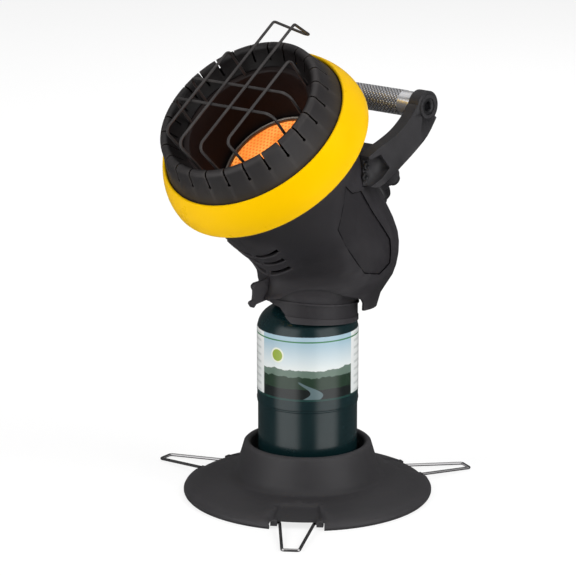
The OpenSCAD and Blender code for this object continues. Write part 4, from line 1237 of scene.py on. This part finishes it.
@dataclass
class BurnerHead:
    """Ring, slotted cone, bowl, glowing tile and wire guard, in the head frame."""

    ring_front_r: float = 92.6
    ring_rear_r: float = 104.2
    ring_depth: float = 36.0
    seat_r: float = 89.0
    lip_r: float = 78.5
    lip_rise: float = 30.6
    fold_r: float = 4.6
    sheet: float = 1.2
    lip_slots: int = 26
    slot_w: float = 1.9
    slot_turn: float = 4.6
    slot_floor: float = 14.0
    slot_reach: tuple[float, float] = (-9.0, 11.0)
    slot_tall: float = 20.0
    slot_end_reach: float = 13.0
    slot_end: float = 0.85
    rim_r: float = 67.0
    rim_rise: float = 11.0
    tile_r: float = 51.0
    tile_depth: float = 49.0
    guard_r: float = 1.4
    guard_rise: float = 49.0
    guard_slope: float = 0.068
    guard_pitch: float = 26.0
    hook_reach: float = 94.5
    foot_lean: float = 4.0
    foot_sink: float = 0.7
    foot_inset: float = 2.6
    rail_bend: float = 6.0
    cross_bend: float = 9.0
    cross_shift: float = 0.5
    cross_lap: float = 0.1
    hook_bends: tuple[float, float, float] = (7.0, 4.0, 3.0)
    hook_drop: float = 32.0
    hook_tip: float = 14.5
    hook_half: float = 2.6
    hoop_r: float = 0.8

    def build(self, shop: Workshop) -> None:
        """Build every piece of the head."""
        shop.piece("guard_ring", self.ring(), IN_HEAD, Body.HEAD, "ring_yellow",
                   ("shroud_ring",), 40)
        shop.piece("slotted_cone", carved(self.cone(), self.slots()), IN_HEAD, Body.HEAD,
                   "cone_paint", ("heat_cone",), 40)
        shop.piece("bowl", self.bowl(), IN_HEAD, Body.HEAD, "bowl_paint",
                   ("reflector_bowl",))
        shop.smoothed_node("burner_tile", "glowing_tile", Body.HEAD, "burner_glow")
        for node, finish in (("burner_rim", "burner_steel"), ("burner_cup", "burner_steel"),
                             ("mixer_tube", "burner_steel"), ("gas_jet", "brass")):
            shop.smoothed_node(node, node + "_piece", Body.HEAD, finish)
        hoop = arc((self.tile_r + 2.1, 2.3 - self.tile_depth), self.hoop_r, 0, 337.5, 15)
        shop.piece("tile_hoop", spin_profile(hoop), IN_HEAD, Body.HEAD, "hoop_steel")
        self.guard(shop)

    def ring(self) -> bmesh.types.BMesh:
        """Wide rounded ring."""
        front, rear, depth = self.ring_front_r, self.ring_rear_r, self.ring_depth
        crown = [(front + 3.4 + (rear - front - 3.4) * math.sin(math.pi / 2 * u) ** 0.9,
                  -1.4 - (depth - 9) * u) for u in (k / 16 for k in range(17))]
        return spin_profile(
            [(front, -8), (front, -1.2)]
            + arc((front + 1.7, -1.2), 1.7, 180, 60, 8)
            + crown
            + arc((rear - 4, -depth + 4), 4, 0, -90, 8)
            + [(rear - 6, -depth), (self.seat_r + 1.5, -depth),
               (self.seat_r + 1.5, -depth + 2.4), (rear - 5.4, -depth + 2.6),
               (rear - 2.9, -depth + 6), (rear - 3, -24), (front + 4, -8)], 256)

    def cone(self) -> bmesh.types.BMesh:
        """Sheet-metal cone with its lip folded in."""
        foot, crest = self.ring_front_r - 0.3, (self.lip_r, self.lip_rise - self.fold_r)
        rim, rise, sheet = self.rim_r, self.rim_rise, self.sheet
        return spin_profile(
            [(foot, -10), (foot, -3)] + arc(crest, self.fold_r, 0, 180, 12)
            + [(rim - 0.2, rise + 0.6), (rim + 0.6, rise - 0.2)]
            + arc(crest, self.fold_r - sheet, 180, 0, 12)
            + [(foot - sheet, -3.4), (foot - sheet, -10)], 260)

    def slots(self) -> bmesh.types.BMesh:
        """Cutter for the slots of the lip, each with a round end in the outer face."""
        mesh = bmesh.new()
        floor = self.lip_rise - self.slot_floor
        for number in range(self.lip_slots):
            angle = 360 / self.lip_slots * number + self.slot_turn
            turn = Matrix.Rotation(math.radians(angle), 4, "Z")
            add_block(mesh, (self.lip_r + self.slot_reach[0], -self.slot_w / 2, floor),
                      (self.lip_r + self.slot_reach[1], self.slot_w / 2,
                       floor + self.slot_tall), turn)
            add_rod(mesh, turn @ Vector((self.lip_r, 0, floor)),
                    turn @ Vector((self.lip_r + self.slot_end_reach, 0, floor)),
                    self.slot_w * self.slot_end)
        return mesh

    def bowl(self) -> bmesh.types.BMesh:
        """Deep dark bowl behind the guard."""
        rim, rise, tile, deep = self.rim_r, self.rim_rise, self.tile_r, self.tile_depth
        return spin_profile([
            (rim + 1.6, rise - 1.8), (rim + 1.6, rise - 0.8), (rim - 3.8, rise - 0.8),
            (rim - 5, rise - 2), (rim - 5, -8), (tile + 5.6, -deep + 2),
            (tile + 4.6, -deep - 6), (tile + 5.6, -deep - 6), (tile + 6.7, -deep + 2),
            (rim - 3.9, -8), (rim - 3.9, rise - 2.6), (rim - 3.2, rise - 1.8)], 256)

    def guard(self, shop: Workshop) -> None:
        """Bend the guard: two side rails, the hooked middle pair and two cross wires."""
        foot_s, foot_r = self.rim_rise - self.foot_sink, self.rim_r - self.foot_inset
        lean = self.foot_lean

        def rail(y: float) -> float:
            return self.guard_rise - self.guard_slope * y

        def foot(x: float) -> float:
            return math.sqrt(foot_r * foot_r - x * x)

        for side, name in ((-1, "left"), (1, "right")):
            x = side * self.guard_pitch * 1.5
            h = foot(x)
            mesh = wire_mesh([(x, -h, foot_s), (x, -h - lean, rail(-h)), (x, h, rail(h)),
                              (x, h, foot_s)], [self.rail_bend] * 2, self.guard_r)
            shop.piece(f"guard_rail_{name}", mesh, IN_HEAD, Body.HEAD, "guard_paint",
                       (f"guard_wire_{name}",))
        x = self.guard_pitch / 2
        h = foot(x)
        top = rail(self.hook_reach)
        half = [(-x, -h, foot_s), (-x, -h - lean, rail(-h)), (-x, self.hook_reach, top),
                (-self.hook_half, self.hook_reach + self.hook_tip, top - self.hook_drop)]
        mesh = wire_mesh(half + [(-px, py, pz) for px, py, pz in reversed(half)],
                         [*self.hook_bends, *reversed(self.hook_bends)], self.guard_r)
        shop.piece("guard_hooked_pair", mesh, IN_HEAD, Body.HEAD, "guard_paint",
                   ("guard_hook_wire",))
        for sign, name in ((1, "upper"), (-1, "lower")):
            y = sign * (self.guard_pitch / 2 + self.cross_shift)
            h = foot(y)
            level = rail(y) - 2 * self.guard_r + self.cross_lap
            mesh = wire_mesh([(-h, y, foot_s), (-h, y, level), (h, y, level),
                              (h, y, foot_s)], [self.cross_bend] * 2, self.guard_r)
            shop.piece(f"guard_cross_bar_{name}", mesh, IN_HEAD, Body.HEAD, "guard_paint",
                       (f"guard_cross_{name}",))


# ------------------------------------------------------------------------------ handle


@dataclass
class Handle:
    """Two arms with a knurled bar between them."""

    arm_sharp: float = 18.0

    def build(self, shop: Workshop) -> None:
        """Build the arms and the bar and dress the fasteners."""
        for side in ("left", "right"):
            shop.smoothed_node(f"handle_arm_{side}", f"carry_arm_{side}", Body.HEAD,
                               "arm_charcoal", sharp=self.arm_sharp)
        shop.smoothed_node("handle_bar", "carry_bar", Body.HEAD, "bar_knurled")
        for node in ("handle_bolts", "handle_screws"):
            shop.smoothed_node(node, node + "_set", Body.HEAD, "black_steel")


@dataclass
class Controls:
    """Gas valve, knob, igniter and the hidden gas train."""

    plain: tuple[tuple[str, Body, str], ...] = (
        ("regulator_body", Body.HEAD, "zinc_cast"),
        ("inlet_fitting", Body.HEAD, "zinc_cast"),
        ("inlet_seal", Body.HEAD, "rubber"),
        ("supply_tube", Body.HEAD, "copper"),
        ("delivery_tube", Body.HEAD, "copper"),
        ("thermocouple", Body.HEAD, "copper"),
        ("valve_body", Body.HEAD, "brass"),
        ("valve_nut", Body.HEAD, "brass"),
        ("valve_stem", Body.KNOB, "stem_steel"),
        ("control_knob", Body.KNOB, "knob_black"),
        ("igniter_bezel", Body.HEAD, "bar_chrome"),
        ("igniter_button", Body.BUTTON, "knob_black"),
        ("igniter_body", Body.HEAD, "igniter_case"),
        ("igniter_lead", Body.HEAD, "lead_sleeve"),
        ("spark_electrode", Body.HEAD, "fired_ceramic"),
        ("tip_switch", Body.HEAD, "knob_black"))

    def build(self, shop: Workshop) -> None:
        """Dress each piece."""
        for node, body, finish in self.plain:
            shop.smoothed_node(node, node + "_piece", body, finish)


# ------------------------------------------------------------------------------ studio


WHITE = (1.0, 1.0, 1.0, 1.0)


@dataclass(frozen=True)
class Lamp:
    """One square lamp: its name, place and size in metres, and power in watts."""

    name: str
    place: Point
    size: float
    power: float


@dataclass
class Studio:
    """Pale floor, soft lights and the camera at the photograph's view."""

    camera_offset: tuple[float, float, float] = (1.6836, -1.8482, 0.8466)
    camera_heading: tuple[float, float] = (-0.679, 0.734)
    camera_pitch: float = 13.47
    sensor: float = 36.0
    focal_px: float = 2667.0
    image_px: float = 576.0
    shift_y: float = -0.0735
    lamps: tuple[Lamp, ...] = (
        Lamp("right", (2.2, 0.5, 1.7), 1.5, 42.0),
        Lamp("left", (-0.7, -2.3, 1.6), 1.3, 34.0),
        Lamp("back", (-1.2, 1.9, 1.9), 1.5, 24.0))
    lamp_aim: Point = (0, 0, 0.25)
    floor_half: float = 8.0
    floor_paint: tuple[float, float, float, float] = (0.92, 0.92, 0.92, 1.0)
    floor_glow: float = 1.07
    floor_white: float = 0.74
    even_strength: float = 0.4
    panel_strength: float = 1.2
    room_strength: float = 0.07
    panel_near: tuple[float, float] = (0.25, 0.5)
    panel_far_right: tuple[float, float] = (1.4, 1.1)
    panel_far_left: tuple[float, float] = (1.45, 1.15)
    panel_low: tuple[float, float] = (-0.75, -0.5)
    panel_high: tuple[float, float] = (0.7, 0.5)
    ceiling_edge: tuple[float, float] = (0.75, 0.9)
    ceiling_share: float = 0.6

    def build(self) -> None:
        """Set up view, camera, floor and lights."""
        scene = bpy.context.scene
        scene.view_settings.view_transform = "Standard"
        self.camera(scene)
        self.floor(scene)
        self.lights(scene)
        self.world(scene)

    def camera(self, scene: bpy.types.Scene) -> None:
        """Place the camera."""
        lens = bpy.data.cameras.new("camera")
        lens.sensor_width = self.sensor
        lens.lens = self.sensor * self.focal_px / self.image_px
        lens.shift_y = self.shift_y
        lens.clip_start, lens.clip_end = 0.1, 30.0
        holder = bpy.data.objects.new("camera", lens)
        scene.collection.objects.link(holder)
        holder.location = bottle_axis() + Vector(self.camera_offset)
        pitch = math.radians(self.camera_pitch)
        heading = Vector(self.camera_heading).normalized() * math.cos(pitch)
        ahead = Vector((heading.x, heading.y, -math.sin(pitch)))
        holder.rotation_euler = ahead.to_track_quat("-Z", "Y").to_euler()
        scene.camera = holder

    def floor(self, scene: bpy.types.Scene) -> None:
        """Lay the floor, white to the camera with its soft shadow, and not in reflections."""
        mesh = bmesh.new()
        bmesh.ops.create_grid(mesh, x_segments=1, y_segments=1, size=self.floor_half)
        data = bpy.data.meshes.new("floor")
        mesh.to_mesh(data)
        mesh.free()
        plate = bpy.data.objects.new("floor", data)
        scene.collection.objects.link(plate)
        shader = Shader("floor_white")
        shader.set(Base_Color=self.floor_paint, Roughness=0.8,
                   Specular_IOR_Level=0.1)
        path = shader.node("LightPath")
        white = shader.node("Emission", Strength=self.floor_glow)
        shown = shader.node("MixShader")
        shader.link(shader.math("MULTIPLY", path.outputs["Is Camera Ray"], self.floor_white),
                    shown.inputs[0])
        shader.link(shader.surface.outputs[0], shown.inputs[1])
        shader.link(white.outputs[0], shown.inputs[2])
        unseen = shader.node("BsdfTransparent")
        seen = shader.node("MixShader")
        shader.link(path.outputs["Is Glossy Ray"], seen.inputs[0])
        shader.link(shown.outputs[0], seen.inputs[1])
        shader.link(unseen.outputs[0], seen.inputs[2])
        shader.link(seen.outputs[0], shader.tree.nodes["Material Output"].inputs["Surface"])
        data.materials.append(shader.material)

    def lights(self, scene: bpy.types.Scene) -> None:
        """Hang the soft lamps, each towards the middle of the heater."""
        for lamp in self.lamps:
            light = bpy.data.lights.new(lamp.name, "AREA")
            light.size = lamp.size
            light.energy = lamp.power
            holder = bpy.data.objects.new(lamp.name, light)
            scene.collection.objects.link(holder)
            holder.location = lamp.place
            aim = Vector(self.lamp_aim) - Vector(lamp.place)
            holder.rotation_euler = aim.to_track_quat("-Z", "Y").to_euler()
            holder.visible_glossy = False

    def world(self, scene: bpy.types.Scene) -> None:
        """Light the scene evenly.

        The camera sees white, and shiny things see a dark room with a bright panel on either
        side of the camera and a dimmer ceiling.
        """
        world = bpy.data.worlds.new("studio")
        world.use_nodes = True
        scene.world = world
        graph = Graph(world.node_tree)
        even = world.node_tree.nodes["Background"]
        even.inputs["Color"].default_value = WHITE
        even.inputs["Strength"].default_value = self.even_strength
        room = graph.node("Background")
        room.inputs["Color"].default_value = WHITE
        graph.link(self.panels(graph), room.inputs["Strength"])
        white = graph.node("Background", Strength=1.0)
        white.inputs["Color"].default_value = WHITE
        path = graph.node("LightPath")
        mirrored, seen = graph.node("MixShader"), graph.node("MixShader")
        graph.link(path.outputs["Is Glossy Ray"], mirrored.inputs[0])
        graph.link(even.outputs[0], mirrored.inputs[1])
        graph.link(room.outputs[0], mirrored.inputs[2])
        graph.link(path.outputs["Is Camera Ray"], seen.inputs[0])
        graph.link(mirrored.outputs[0], seen.inputs[1])
        graph.link(white.outputs[0], seen.inputs[2])
        graph.link(seen.outputs[0], world.node_tree.nodes["World Output"].inputs["Surface"])

    def panels(self, graph: Graph) -> bpy.types.NodeSocket:
        """Brightness of the room by direction, in radians from the camera's side."""
        x, y, z = graph.split(graph.node("TexCoord").outputs["Object"])
        facing = math.atan2(self.camera_offset[1], self.camera_offset[0])
        turn = graph.math("WRAP", graph.math("SUBTRACT", graph.math("ARCTAN2", y, x), facing),
                          math.pi, -math.pi)
        sides = [graph.math("MULTIPLY",
                            graph.ramp(turn, *(side * edge for edge in self.panel_near)),
                            graph.ramp(turn, *(side * edge for edge in far)))
                 for side, far in ((1, self.panel_far_right), (-1, self.panel_far_left))]
        either = graph.math("ADD", *sides)
        level = graph.math("MULTIPLY", graph.ramp(z, *self.panel_low),
                           graph.ramp(z, *self.panel_high))
        ceiling = graph.math("MULTIPLY", graph.ramp(z, *self.ceiling_edge), self.ceiling_share)
        lit = graph.math("MULTIPLY_ADD", either, level, ceiling)
        return graph.math("MULTIPLY_ADD", lit, self.panel_strength, self.room_strength)


def main() -> None:
    """Build the heater and the studio around it."""
    logging.basicConfig(level=logging.INFO, format="%(name)s: %(message)s")
    palette = Palette()
    for finish in FINISHES:
        palette.add(finish)
    for finish, extend in SPECIAL_FINISHES:
        palette.add(finish, extend)
    shop = Workshop(palette)
    for part in (Base(), Bottle(), Housing(), BurnerHead(), Handle(), Controls()):
        part.build(shop)
    Studio().build()


if __name__ == "__main__":
    main()
